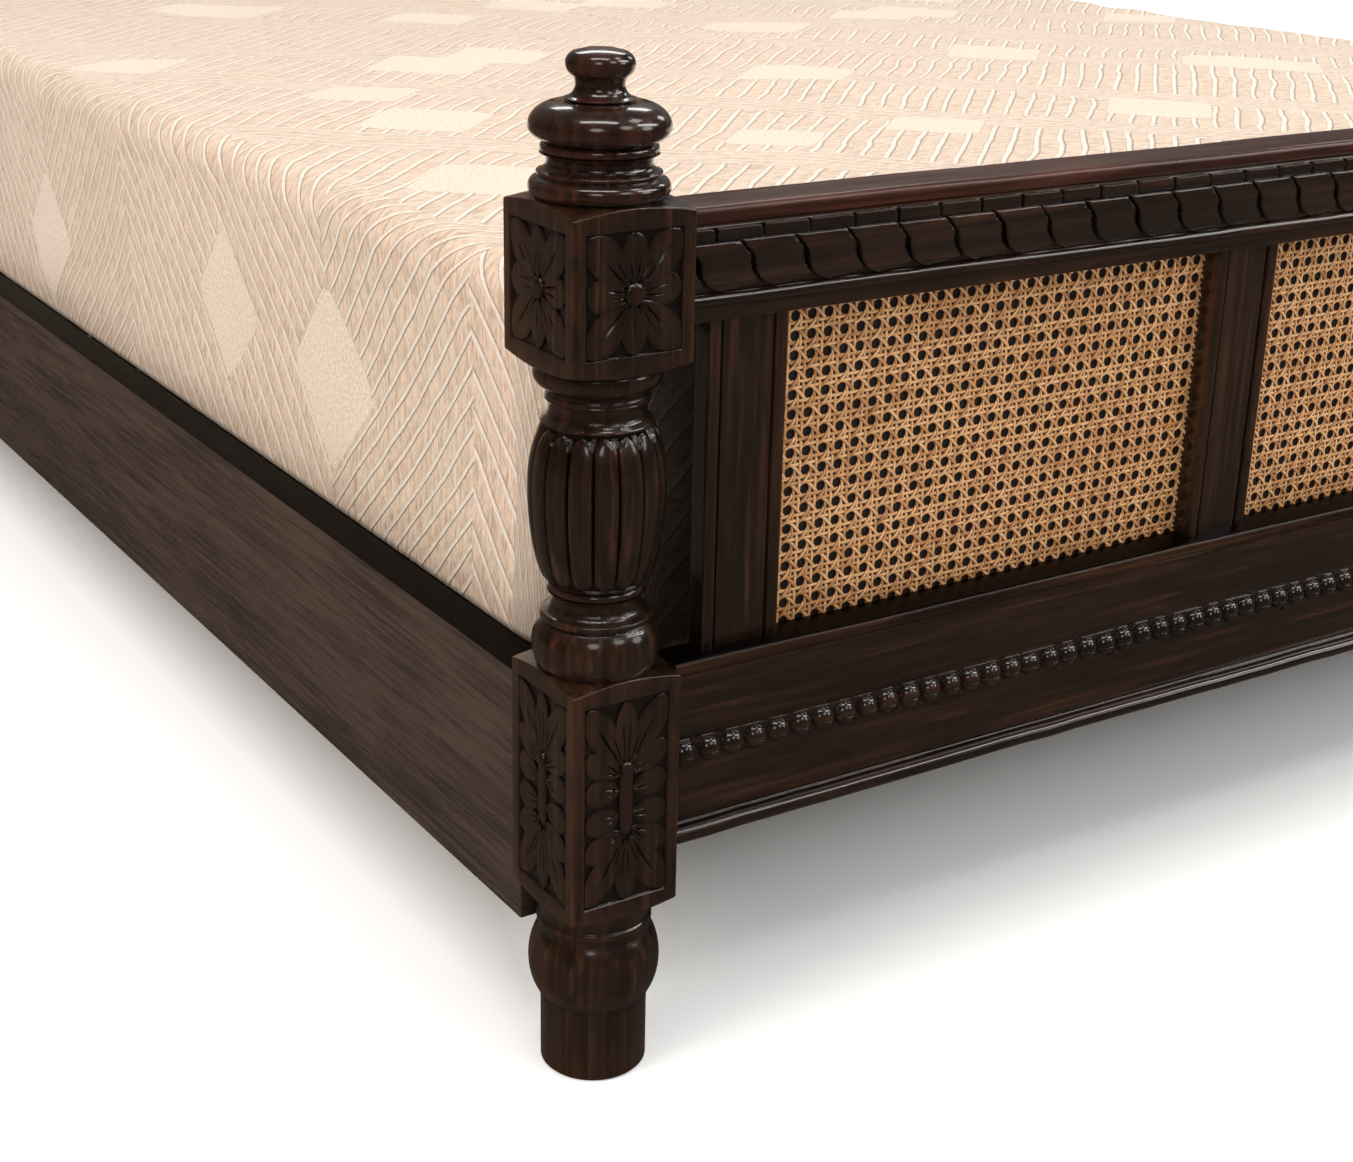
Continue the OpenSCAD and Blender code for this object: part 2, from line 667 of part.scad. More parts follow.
slat_len = 2 * (rail_in_x - slat_end_gap);
slat_pitch = (mattress_l - slat_w - 40) / (slat_count - 1);
screw_x = rail_in_x - ledger_w / 2;
function slat_y(i) = (i - (slat_count - 1) / 2) * slat_pitch;

module slat_screw_holes(side) {
  for (i = [0 : slat_count - 1])
    translate([side * screw_x, slat_y(i), slat_top - screw_l - 2])
      cylinder(r = screw_r + screw_clearance, h = screw_l + 3, $fn = 24);
}

module slats() {
  color(STAINED_PINE) difference() {
    for (i = [0 : slat_count - 1])
      translate([-slat_len / 2, slat_y(i) - slat_w / 2, slat_z]) cube([slat_len, slat_w, slat_t]);
    for (side = [-1, 1]) {
      slat_screw_holes(side);
      for (i = [0 : slat_count - 1])
        translate([side * screw_x, slat_y(i), slat_top - screw_r - 1])
          cylinder(r = 2 * screw_r + screw_clearance, h = screw_r + 2, $fn = 24);
    }
  }
}

// Slat screws: a shank under a flat head that lies in its counterbore
module slat_screws() {
  color(STEEL) for (side = [-1, 1], i = [0 : slat_count - 1])
    translate([side * screw_x, slat_y(i), slat_top - screw_l]) {
      cylinder(r = screw_r, h = screw_l - 1, $fn = 24);
      translate([0, 0, screw_l - screw_r - 1]) cylinder(r = 2 * screw_r, h = screw_r, $fn = 24);
    }
}

module centre_beam() {
  color(STAINED_PINE) translate([-beam_w / 2, foot_beam_y + hanger_t, slat_z - beam_h])
    cube([beam_w, beam_end_y - foot_beam_y - 2 * hanger_t, beam_h]);
}

// Steel hanger: back plate on the rail, seat under the beam and two cheeks
module hanger() {
  t = hanger_t;
  z0 = slat_z - beam_h - t;
  translate([-beam_w / 2 - hanger_wing, 0, z0]) cube([beam_w + 2 * hanger_wing, t, beam_h - 8]);
  translate([-beam_w / 2 - t, 0, z0]) cube([beam_w + 2 * t, hanger_seat, t]);
  for (side = [-1, 1])
    translate([side > 0 ? beam_w / 2 : -beam_w / 2 - t, 0, z0]) cube([t, hanger_seat, beam_h - 20]);
}

module beam_hangers() {
  color(STEEL) {
    translate([0, foot_beam_y, 0]) hanger();
    translate([0, beam_end_y, 0]) mirror([0, 1, 0]) hanger();
  }
}

module centre_legs() {
  color(STAINED_PINE) for (y = [-leg_y, leg_y])
    translate([0, y, pad_t]) {
      cylinder(r = leg_r, h = slat_z - beam_h - pad_t, $fn = ROUND);
    }
}

module leg_pads() {
  color(RUBBER) for (y = [-leg_y, leg_y])
    translate([0, y, 0]) cylinder(r = leg_r - 1, h = pad_t, $fn = ROUND);
}

// Rounded rectangle of the mattress, drawn in by d, as points at height z
corner_steps = 7;
function mattress_ring(d, z) =
  let (w = mattress_w / 2 - d, l = mattress_l / 2 - d, r = max(mattress_corner_r - d, 4))
  [for (q = [0 : 3], i = [0 : corner_steps])
    let (a = 90 * (q + i / corner_steps), sx = (q == 0 || q == 3) ? 1 : -1, sy = q < 2 ? 1 : -1)
    [sx * (w - r) + r * cos(a), sy * (l - r) + r * sin(a), z]];

// Rings of the mattress from the bottom up: inset and height
function mattress_levels() = let (r = mattress_edge_r, h = mattress_h, c = mattress_crown) concat(
  [for (i = [0 : 4]) [r - r * sin(i * 22.5), r - r * cos(i * 22.5)]],
  [for (i = [1 : 3]) [mattress_draw_in * sin(i * 45), r + (h - 2 * r) * i / 4]],
  [for (i = [0 : 4]) [r - r * cos(i * 22.5), h - r + r * sin(i * 22.5)]],
  [for (i = [1 : 5]) [r + (mattress_w / 2 - r) * 0.19 * i, h + c * sin(i * 18)]]);

module mattress() {
  levels = mattress_levels();
  n = 4 * (corner_steps + 1);
  m = len(levels);
  rings = [for (level = levels) each mattress_ring(level[0], level[1])];
  walls = [for (j = [0 : m - 2], i = [0 : n - 1]) let (a = j * n + i, b = j * n + (i + 1) % n)
    each [[a, a + n, b], [b, a + n, b + n]]];
  ends = [for (i = [0 : n - 1]) each [[n * m, i, (i + 1) % n],
    [n * m + 1, (m - 1) * n + (i + 1) % n, (m - 1) * n + i]]];
  color(FABRIC) translate([0, 0, mattress_z])
    polyhedron(concat(rings, [[0, 0, 0], [0, 0, mattress_h + mattress_crown]]), concat(walls, ends));
}

post(-1, 1, false);  // post_foot_left
post(1, 1, false);  // post_foot_right
post(-1, -1, true);  // post_head_left
post(1, -1, true);  // post_head_right
finial(-1, 1, block_top);  // finial_foot_left
finial(1, 1, block_top);  // finial_foot_right
finial(-1, -1, head_block_top);  // finial_head_left
finial(1, -1, head_block_top);  // finial_head_right

on_foot() cap(bay_top_z + top_rail_h + frieze_h);  // foot_cap
on_foot() frieze(bay_top_z + top_rail_h);  // foot_frieze
on_foot() bead(bay_top_z + top_rail_h - bead_r - 0.5);  // foot_bead
on_foot() top_rail(0);  // foot_top_rail
on_foot() ledge(low_span, ledge_z);  // foot_ledge
on_foot() deep_rail(low_span, low_rail_z, ledge_z, low_tenon, true);  // foot_bottom_rail
on_foot() pearls(low_span, low_rail_z + pearl_z);  // foot_pearls
on_foot() base_moulding(low_span, low_rail_z);  // foot_base_moulding
on_foot() stile(-stile_out + stile_w / 2, bay_low_z, bay_top_z);  // foot_end_stile_left
on_foot() stile(stile_out - stile_w / 2, bay_low_z, bay_top_z);  // foot_end_stile_right
on_foot() stile(-mid_stile_x, bay_low_z, bay_top_z);  // foot_mid_stile_left
on_foot() stile(mid_stile_x, bay_low_z, bay_top_z);  // foot_mid_stile_right
on_foot() cane(BAYS[0], bay_low_z, bay_top_z);  // foot_cane_left
on_foot() cane(BAYS[1], bay_low_z, bay_top_z);  // foot_cane_centre
on_foot() cane(BAYS[2], bay_low_z, bay_top_z);  // foot_cane_right
on_foot() backing(BAYS[0], bay_low_z, bay_top_z);  // foot_backing_left
on_foot() backing(BAYS[1], bay_low_z, bay_top_z);  // foot_backing_centre
on_foot() backing(BAYS[2], bay_low_z, bay_top_z);  // foot_backing_right

head_bay_top = bay_top_z + head_rise;
on_head() cap(head_bay_top + top_rail_h + frieze_h);  // head_cap
on_head() frieze(head_bay_top + top_rail_h);  // head_frieze
on_head() bead(head_bay_top + top_rail_h - bead_r - 0.5);  // head_bead
on_head() top_rail(head_rise);  // head_top_rail
on_head() ledge(top_span, mid_ledge_z);  // head_ledge
on_head() deep_rail(top_span, mid_rail_z, mid_ledge_z, mid_tenon, true);  // head_mid_rail
on_head() pearls(top_span, (mid_rail_z + base_h + mid_ledge_z) / 2);  // head_pearls
on_head() base_moulding(top_span, mid_rail_z);  // head_base_moulding
on_head() deep_rail(low_span, low_rail_z, ledge_z, low_tenon, false);  // head_bottom_rail
on_head() stile(-stile_out + stile_w / 2, mid_bay_low_z, head_bay_top);  // head_end_stile_left
on_head() stile(stile_out - stile_w / 2, mid_bay_low_z, head_bay_top);  // head_end_stile_right
on_head() stile(-mid_stile_x, mid_bay_low_z, head_bay_top);  // head_mid_stile_left
on_head() stile(mid_stile_x, mid_bay_low_z, head_bay_top);  // head_mid_stile_right
on_head() cane(BAYS[0], mid_bay_low_z, head_bay_top);  // head_cane_left
on_head() cane(BAYS[1], mid_bay_low_z, head_bay_top);  // head_cane_centre
on_head() cane(BAYS[2], mid_bay_low_z, head_bay_top);  // head_cane_right
on_head() backing(BAYS[0], mid_bay_low_z, head_bay_top);  // head_backing_left
on_head() backing(BAYS[1], mid_bay_low_z, head_bay_top);  // head_backing_centre
on_head() backing(BAYS[2], mid_bay_low_z, head_bay_top);  // head_backing_right

side_rail(-1);  // side_rail_left
side_rail(1);  // side_rail_right
ledger(-1);  // ledger_left
ledger(1);  // ledger_right
slats();
slat_screws();
centre_beam();
beam_hangers();
centre_legs();
leg_pads();
color(STEEL) at_rail_joints() hook_plate();  // rail_hooks
color(STEEL) at_rail_joints() catch_plate();  // catch_plates
mattress();
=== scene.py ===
# %% [markdown]
# # A turned and carved bed, dressed for the camera
#
# The bed's joinery was drawn and packed before this file runs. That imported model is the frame: it fixes
# where every post, rail and board stands. Here each of those plain solids gets what a joiner, a carver and
# a caner would add: reeds, petals, tongues, pearls, woven cane, lacquer that is rubbed thin on the edges,
# and a mattress in jacquard ticking. All sizes are in millimetres, as on a workshop drawing, and become
# metres only when a mesh is made.

import itertools
import math

import bmesh
import bpy
import numpy as np
from mathutils import Matrix, Vector


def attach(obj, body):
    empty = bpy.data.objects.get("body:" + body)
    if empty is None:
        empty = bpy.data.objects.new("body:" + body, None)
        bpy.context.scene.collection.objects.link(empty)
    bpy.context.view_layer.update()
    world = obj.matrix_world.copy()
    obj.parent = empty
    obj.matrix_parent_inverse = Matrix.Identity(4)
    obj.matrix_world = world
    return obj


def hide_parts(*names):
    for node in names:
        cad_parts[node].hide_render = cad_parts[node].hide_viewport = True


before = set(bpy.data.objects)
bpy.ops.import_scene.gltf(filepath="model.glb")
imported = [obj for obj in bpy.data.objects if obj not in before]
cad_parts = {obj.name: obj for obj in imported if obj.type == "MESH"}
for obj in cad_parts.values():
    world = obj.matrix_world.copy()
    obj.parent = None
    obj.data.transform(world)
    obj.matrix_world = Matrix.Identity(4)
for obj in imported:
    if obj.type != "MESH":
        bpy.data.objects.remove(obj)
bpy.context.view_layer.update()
MM = 0.001
bpy.context.scene.view_settings.view_transform = "Standard"


def add_object(name, data):
    """Makes an object and links it to the scene."""
    made = bpy.data.objects.new(name, data)
    bpy.context.scene.collection.objects.link(made)
    return made



# %% [markdown]
# ## Camera
#
# The photograph looks down at the near left corner of the foot end from about a metre away, so the view has
# strong perspective. A camera could be aimed by eye, but the post's edges give its place exactly: it was
# solved from them, with a slight roll. The lens is a little longer than normal, and no shift is needed.

# %% Camera
CAMERA_AT = (-1.3675, -2.0745, 0.7911)
CAMERA_TURN = math.radians(-33.06)
CAMERA_TILT = math.radians(21.21)
CAMERA_ROLL = math.radians(1.3)
LENS, SENSOR_WIDTH = 55.33, 36
CLIP_NEAR, CLIP_FAR = 0.05, 60


def make_camera():
    """A camera that looks along its turn and tilt, with its roll."""
    back = Vector((math.sin(CAMERA_TURN) * math.cos(CAMERA_TILT),
                   -math.cos(CAMERA_TURN) * math.cos(CAMERA_TILT), math.sin(CAMERA_TILT)))
    level = Vector((0, 0, 1)).cross(back).normalized()
    upright = back.cross(level)
    c, s = math.cos(CAMERA_ROLL), math.sin(CAMERA_ROLL)
    right, up = c * level + s * upright, c * upright - s * level
    data = bpy.data.cameras.new("camera")
    data.lens, data.sensor_width, data.sensor_fit = LENS, SENSOR_WIDTH, "HORIZONTAL"
    data.clip_start, data.clip_end = CLIP_NEAR, CLIP_FAR
    camera = add_object("camera", data)
    turn = Matrix((right, up, back)).transposed()
    camera.matrix_world = Matrix.Translation(CAMERA_AT) @ turn.to_4x4()
    bpy.context.scene.camera = camera


make_camera()
print("camera at", CAMERA_AT, "with a", LENS, "mm lens")

# %% [markdown]
# ## Node helpers
#
# Materials and Geometry Nodes are both trees of nodes. Building them in a script is tedious with the plain
# calls, so one helper adds a node, sets its options and fills its inputs with numbers or with links from
# other nodes.


# %% Node helpers
def node(tree, kind, inputs=None, **options):
    """Adds a node. Its inputs are given by name or index, as values or as sockets to link from."""
    made = tree.nodes.new(kind)
    for key, value in options.items():
        setattr(made, key, value)
    for key, value in (inputs or {}).items():
        if isinstance(value, bpy.types.NodeSocket):
            tree.links.new(value, made.inputs[key])
        else:
            made.inputs[key].default_value = value
    return made


def math_node(tree, operation, a, b=0.0, clamp=False):
    return node(tree, "ShaderNodeMath", {0: a, 1: b}, operation=operation, use_clamp=clamp).outputs[0]


def plus(tree, a, b, clamp=False):
    return math_node(tree, "ADD", a, b, clamp)


def minus(tree, a, b, clamp=False):
    return math_node(tree, "SUBTRACT", a, b, clamp)


def times(tree, a, b, clamp=False):
    return math_node(tree, "MULTIPLY", a, b, clamp)


def vector_math(tree, operation, a, b):
    return node(tree, "ShaderNodeVectorMath", {0: a, 1: b}, operation=operation).outputs[0]


def dot(tree, a, b):
    return node(tree, "ShaderNodeVectorMath", {0: a, 1: b}, operation="DOT_PRODUCT").outputs["Value"]


def scaled(tree, vector, factor):
    return node(tree, "ShaderNodeVectorMath", {0: vector, "Scale": factor}, operation="SCALE").outputs[0]


def blend_colour(tree, factor, a, b):
    """Mixes two colours. The same-named sockets of the Mix node are told apart by index."""
    return node(tree, "ShaderNodeMix", {0: factor, 6: a, 7: b}, data_type="RGBA").outputs[2]


def blend_number(tree, factor, a, b):
    return node(tree, "ShaderNodeMix", {0: factor, 2: a, 3: b}, data_type="FLOAT").outputs[0]


def ramp(tree, value, low, high, to_low=0.0, to_high=1.0):
    """Maps low..high onto to_low..to_high, clamped, with a soft start and end."""
    return node(tree, "ShaderNodeMapRange", {"Value": value, "From Min": low, "From Max": high,
                                             "To Min": to_low, "To Max": to_high},
                interpolation_type="SMOOTHSTEP").outputs["Result"]


def noise(tree, vector, scale, detail=3.0, roughness=0.55, distortion=0.0):
    return node(tree, "ShaderNodeTexNoise", {"Vector": vector, "Scale": scale, "Detail": detail,
                                             "Roughness": roughness, "Distortion": distortion}).outputs["Fac"]


def drift(tree, vector, scale, detail):
    """A smooth random vector around zero, for what wanders from its place."""
    field = node(tree, "ShaderNodeTexNoise", {"Vector": vector, "Scale": scale, "Detail": detail})
    return vector_math(tree, "SUBTRACT", field.outputs["Color"], (0.5, 0.5, 0.5))


def mesh_mark(tree, name):
    """A number that the mesh keeps for each of its points."""
    return node(tree, "ShaderNodeAttribute", attribute_name=name).outputs["Fac"]


def facing(tree):
    """The three parts of the direction that the surface looks in."""
    return node(tree, "ShaderNodeSeparateXYZ",
                {0: node(tree, "ShaderNodeNewGeometry").outputs["Normal"]}).outputs


def rgb(colour, share=1.0):
    """A colour for a socket, made darker or lighter by a share."""
    return (*(min(1.0, c * share) for c in colour), 1.0)


def new_material(name):
    """A material and its tree, which is still empty."""
    material = bpy.data.materials.new(name)
    material.use_nodes = True
    material.node_tree.nodes.clear()
    return material, material.node_tree


def group_tree(name, inputs, outputs, kind="ShaderNodeTree"):
    """An empty node group. Its inputs are given as (name, type, default), its outputs as (name, type)."""
    tree = bpy.data.node_groups.new(name, kind)
    for label, sort, default in inputs:
        socket = tree.interface.new_socket(label, in_out="INPUT", socket_type="NodeSocket" + sort)
        if default is not None:
            socket.default_value = default
    for label, sort in outputs:
        tree.interface.new_socket(label, in_out="OUTPUT", socket_type="NodeSocket" + sort)
    return tree, tree.nodes.new("NodeGroupInput"), tree.nodes.new("NodeGroupOutput")


def use_group(tree, group, inputs):
    return node(tree, "ShaderNodeGroup", inputs, node_tree=group)


# %% [markdown]
# ## Studio
#
# The bed stands on a plain pale floor. Glossy dark wood shows its shape through what it reflects, so the
# places of the lamps matter more than their number: a long softbox beyond the bed, one above the near post
# and one above the foot end draw the bright lines along every turned edge and moulding. Two small lamps and
# three small windows of the world make the short sparkles. The other four lamps light the cloth, the rail
# and the rear, and the world fills the rest softly. A photographer hangs black cloth to keep the white
# floor and the fill lamps out of the lacquer. Here the Light Path and the lamps' own switch for gloss do
# that.

# %% Floor and world
FLOOR_SIZE = 30.0
FLOOR_GLOW, FAR_GLOW, FAR_FROM, FAR_TO = 0.36, 0.95, 2.2, 6.5     # the lamps don't reach the far floor
GLOW_SIDE, GLOW_END = (0.70, 0.80), (0.76, 1.08)     # the glow begins this far from the middle
# Painted shadow: under the bed the floor's own colour is dark
SHADOW_SIDE, SHADOW_END = (0.52, 0.66), (0.60, 0.80)     # and here the floor turns from dark to pale
UNDER_BED_SHADOW_TONE, PALE_TONE = 0.12, 0.80
GLOSSY_GLOW, GLOSSY_LOSS = 0.05, 0.72                # gloss sees little of the glow, and a darker floor
ROOM_LIGHT = (0.08, 0.26)
GLOSS_ROOM, GLOSS_ABOVE, GLOSS_BEYOND, GLOSS_WINDOW = 0.02, 0.12, 0.14, 4.0
WINDOWS = ((0.25, -0.75, 0.60), (-0.50, -0.70, 0.50), (0.75, -0.55, 0.35))


def off_middle(tree, place, side, end):
    """0 in the middle of the floor and 1 away from it. side and end say where the soft borders lie."""
    apart = node(tree, "ShaderNodeSeparateXYZ", {0: place}).outputs
    return math_node(tree, "MAXIMUM", ramp(tree, math_node(tree, "ABSOLUTE", apart["X"]), *side),
                     ramp(tree, math_node(tree, "ABSOLUTE", apart["Y"]), *end))


def make_floor():
    """A large pale plane under the feet. The camera sees it brighter and the gloss sees it darker than it is.

    The glow ends softly under the bed, so that no light floor shines up between the slats, and there
    the floor's colour is dark too: a painted shadow."""
    mesh = bpy.data.meshes.new("floor")
    h = FLOOR_SIZE / 2
    mesh.from_pydata([(-h, -h, 0), (h, -h, 0), (h, h, 0), (-h, h, 0)], [], [(0, 1, 2, 3)])
    floor = add_object("floor", mesh)
    material, tree = new_material("floor")
    place = node(tree, "ShaderNodeTexCoord").outputs["Object"]
    path = node(tree, "ShaderNodeLightPath").outputs
    seen = plus(tree, path["Is Camera Ray"], path["Is Transmission Ray"], True)
    seen = plus(tree, seen, times(tree, path["Is Glossy Ray"], GLOSSY_GLOW), True)
    far = node(tree, "ShaderNodeVectorMath", {0: place}, operation="LENGTH").outputs["Value"]
    level = ramp(tree, far, FAR_FROM, FAR_TO, FLOOR_GLOW, FAR_GLOW)
    glow = times(tree, times(tree, seen, level), off_middle(tree, place, GLOW_SIDE, GLOW_END))
    # Painted shadow under the bed: the floor's colour falls to the dark tone there
    pale = ramp(tree, off_middle(tree, place, SHADOW_SIDE, SHADOW_END), 0.0, 1.0, UNDER_BED_SHADOW_TONE, PALE_TONE)
    pale = minus(tree, pale, times(tree, path["Is Glossy Ray"], GLOSSY_LOSS), True)
    tint = blend_colour(tree, path["Is Glossy Ray"], rgb((0.975, 0.99, 1)), rgb((1, 0.78, 0.6)))
    matt = node(tree, "ShaderNodeBsdfDiffuse", {"Color": scaled(tree, tint, pale)})
    shine = node(tree, "ShaderNodeEmission", {"Color": rgb((1, 1, 1)), "Strength": glow})
    both = node(tree, "ShaderNodeAddShader", {0: matt.outputs[0], 1: shine.outputs[0]})
    node(tree, "ShaderNodeOutputMaterial", {"Surface": both.outputs[0]})
    mesh.materials.append(material)


def make_world():
    """White for the camera, pale and even for the light, and for the gloss a dark room with a few windows."""
    world = bpy.data.worlds.new("studio")
    bpy.context.scene.world = world
    world.use_nodes = True
    tree = world.node_tree
    tree.nodes.clear()
    way = node(tree, "ShaderNodeTexCoord").outputs["Generated"]

    def towards(axis):
        return dot(tree, way, Vector(axis).normalized())

    light = ramp(tree, towards((-0.35, -0.3, 0.9)), -0.3, 0.9, *ROOM_LIGHT)
    beyond = ramp(tree, towards((0.45, 0.88, 0.12)), 0.45, 1.0, 0.0, GLOSS_BEYOND)
    above = ramp(tree, towards((0.1, 0.5, 0.86)), 0.35, 1.0, GLOSS_ROOM, GLOSS_ABOVE)
    gloss = math_node(tree, "MAXIMUM", beyond, above)
    for axis in WINDOWS:
        window = ramp(tree, towards(axis), 0.982, 0.992, 0.0, GLOSS_WINDOW)
        gloss = math_node(tree, "MAXIMUM", gloss, window)
    path = node(tree, "ShaderNodeLightPath").outputs
    strength = blend_number(tree, path["Is Glossy Ray"], light, gloss)
    room = node(tree, "ShaderNodeBackground", {"Color": rgb((1.0, 0.985, 0.965)), "Strength": strength})
    white = node(tree, "ShaderNodeBackground", {"Color": rgb((1, 1, 1)), "Strength": 1.0})
    seen = plus(tree, path["Is Camera Ray"], path["Is Transmission Ray"], True)
    pick = node(tree, "ShaderNodeMixShader", {0: seen, 1: room.outputs[0], 2: white.outputs[0]})
    node(tree, "ShaderNodeOutputWorld", {"Surface": pick.outputs[0]})


make_floor()
make_world()


# %% Lamps
def softbox(name, at, towards, size, watts, colour=(1.0, 0.97, 0.93), mirrored=True):
    """A rectangular area lamp that faces a point. Gloss shows only the mirrored ones."""
    data = bpy.data.lights.new(name, "AREA")
    data.shape, data.size, data.size_y = "RECTANGLE", size[0], size[1]
    data.energy, data.color = watts, colour
    lamp = add_object(name, data)
    lamp.location = at
    lamp.rotation_mode = "QUATERNION"
    lamp.rotation_quaternion = (Vector(towards) - Vector(at)).to_track_quat("-Z", "Y")
    lamp.visible_glossy = mirrored


BED_MIDDLE = (0.0, -0.3, 0.4)
softbox("back_softbox", (0.9, 1.6, 2.9), (-0.4, -0.8, 0.4), (2.6, 0.6), 30)
softbox("top_bar", (-1.15, -1.65, 2.7), (-0.77, -1.07, 0.5), (1.7, 0.35), 20)
softbox("near_window", (0.45, -1.65, 2.5), (-0.7, -1.1, 0.5), (0.6, 0.5), 5)
softbox("front_bar", (2.3, -2.3, 2.4), (2.1, -1.1, 0.4), (3.2, 0.4), 46)
softbox("right_window", (1.6, -0.4, 1.7), (-0.7, -1.1, 0.5), (0.4, 0.5), 3)
softbox("side_fill", (-4.1, -0.9, 2.4), BED_MIDDLE, (2.6, 2.2), 112, (1.0, 0.88, 0.78), mirrored=False)
softbox("front_fill", (0.6, -4.6, 1.7), BED_MIDDLE, (3.0, 2.0), 42, (1.0, 0.94, 0.86), mirrored=False)
softbox("rear_fill", (-1.6, 4.9, 2.3), (0.0, 1.0, 0.6), (3.2, 2.0), 60, (1, 0.97, 0.93), mirrored=False)
softbox("overhead", (0.2, -0.1, 3.3), (0.0, -0.1, 0.3), (3.0, 3.0), 46, (0.95, 0.97, 1.0), mirrored=False)

# %% [markdown]
# ## Wood: one lacquer, three small effects
#
# The bed is stained almost black and lacquered. Where hands and cloths rubbed it, the arrises and the high
# spots show red-brown wood. Every hollow is painted near black, as glazing that settled there and as painted
# shade, and the lit edges of the carving get the red-brown as a painted highlight. Three effects make this,
# each one a node group that several woods share: the grain, the rubbed and lit arrises, and the glazing and
# shade in the hollows. The meshes carry two marks for them, "arris" and "hollow", because the code that
# shapes a piece knows best where its edges and hollows are.


# %% Shared effects
def make_grain_group():
    """Grain that runs along the Z of its Vector: streaks, broad patches and open pores."""
    tree, inp, out = group_tree(
        "wood_grain",
        [("Vector", "Vector", None), ("Fineness", "Float", 150.0), ("Pore Depth", "Float", 0.5)],
        [("Streak", "Float"), ("Patch", "Float"), ("Pore", "Float"), ("Height", "Float")])
    squeezed = node(tree, "ShaderNodeMapping",
                    {"Vector": inp.outputs["Vector"], "Scale": (1, 1, 0.035)}).outputs[0]
    broad = node(tree, "ShaderNodeMapping",
                 {"Vector": inp.outputs["Vector"], "Scale": (1, 1, 0.22)}).outputs[0]
    streak = noise(tree, squeezed, inp.outputs["Fineness"], 6.0, 0.62, 0.4)
    patch = noise(tree, broad, 24.0, 4.0, 0.6)
    fine = times(tree, inp.outputs["Fineness"], 5.0)
    line = noise(tree, squeezed, fine, 2.0, 0.5)
    pore = ramp(tree, line, 0.40, 0.28)
    sunk = times(tree, pore, inp.outputs["Pore Depth"])
    height = minus(tree, times(tree, streak, 0.35), sunk)
    for label, value in (("Streak", streak), ("Patch", patch), ("Pore", pore), ("Height", height)):
        tree.links.new(value, out.inputs[label])
    return tree


def make_rubbed_and_lit_group():
    """Red-brown where an arris has lost its lacquer, and on the lit carved edges as a painted highlight:
    the mesh's own mark, broken up by noise.
    """
    tree, inp, out = group_tree("rubbed_arris", [("Vector", "Vector", None), ("Amount", "Float", 0.7)],
                                [("Mask", "Float")])
    mark = mesh_mark(tree, "arris")
    broken = ramp(tree, noise(tree, inp.outputs["Vector"], 45.0, 5.0, 0.65), 0.36, 0.62)
    worn_and_lit = times(tree, times(tree, mark, broken), inp.outputs["Amount"], True)
    tree.links.new(worn_and_lit, out.inputs["Mask"])
    return tree


def make_glaze_and_shade_group():
    """Near black in the hollows, by the mesh's own mark: glazing that settled there, and painted shade."""
    tree, inp, out = group_tree("glaze_and_shade", [("Vector", "Vector", None), ("Amount", "Float", 0.85)],
                                [("Mask", "Float")])
    mark = mesh_mark(tree, "hollow")
    uneven = ramp(tree, noise(tree, inp.outputs["Vector"], 90.0, 3.0), 0.2, 0.6, 0.75, 1.0)
    settled = times(tree, times(tree, mark, uneven), inp.outputs["Amount"], True)
    tree.links.new(settled, out.inputs["Mask"])
    return tree


GRAIN, RUBBED_AND_LIT, GLAZE_AND_SHADE = make_grain_group(), make_rubbed_and_lit_group(), make_glaze_and_shade_group()

# %% [markdown]
# The lacquer itself is one Principled shader: a dark base with red-brown where the patches and the rubbed
# arrises let it through, a clear coat for the polish, and a bump from the grain. On the lit edges of the
# carving the same red-brown is a painted highlight. The grain runs along the length of each piece, so the
# same recipe is mixed once for uprights and once for each of the two horizontal directions.

# %% Lacquer
# The three directions turn the piece so that its grain lies along Z
GRAIN_ALONG = {"up": (0, 0, 0), "across": (0, math.pi / 2, 0), "lengthwise": (math.pi / 2, 0, 0)}
SHINE = 0.2


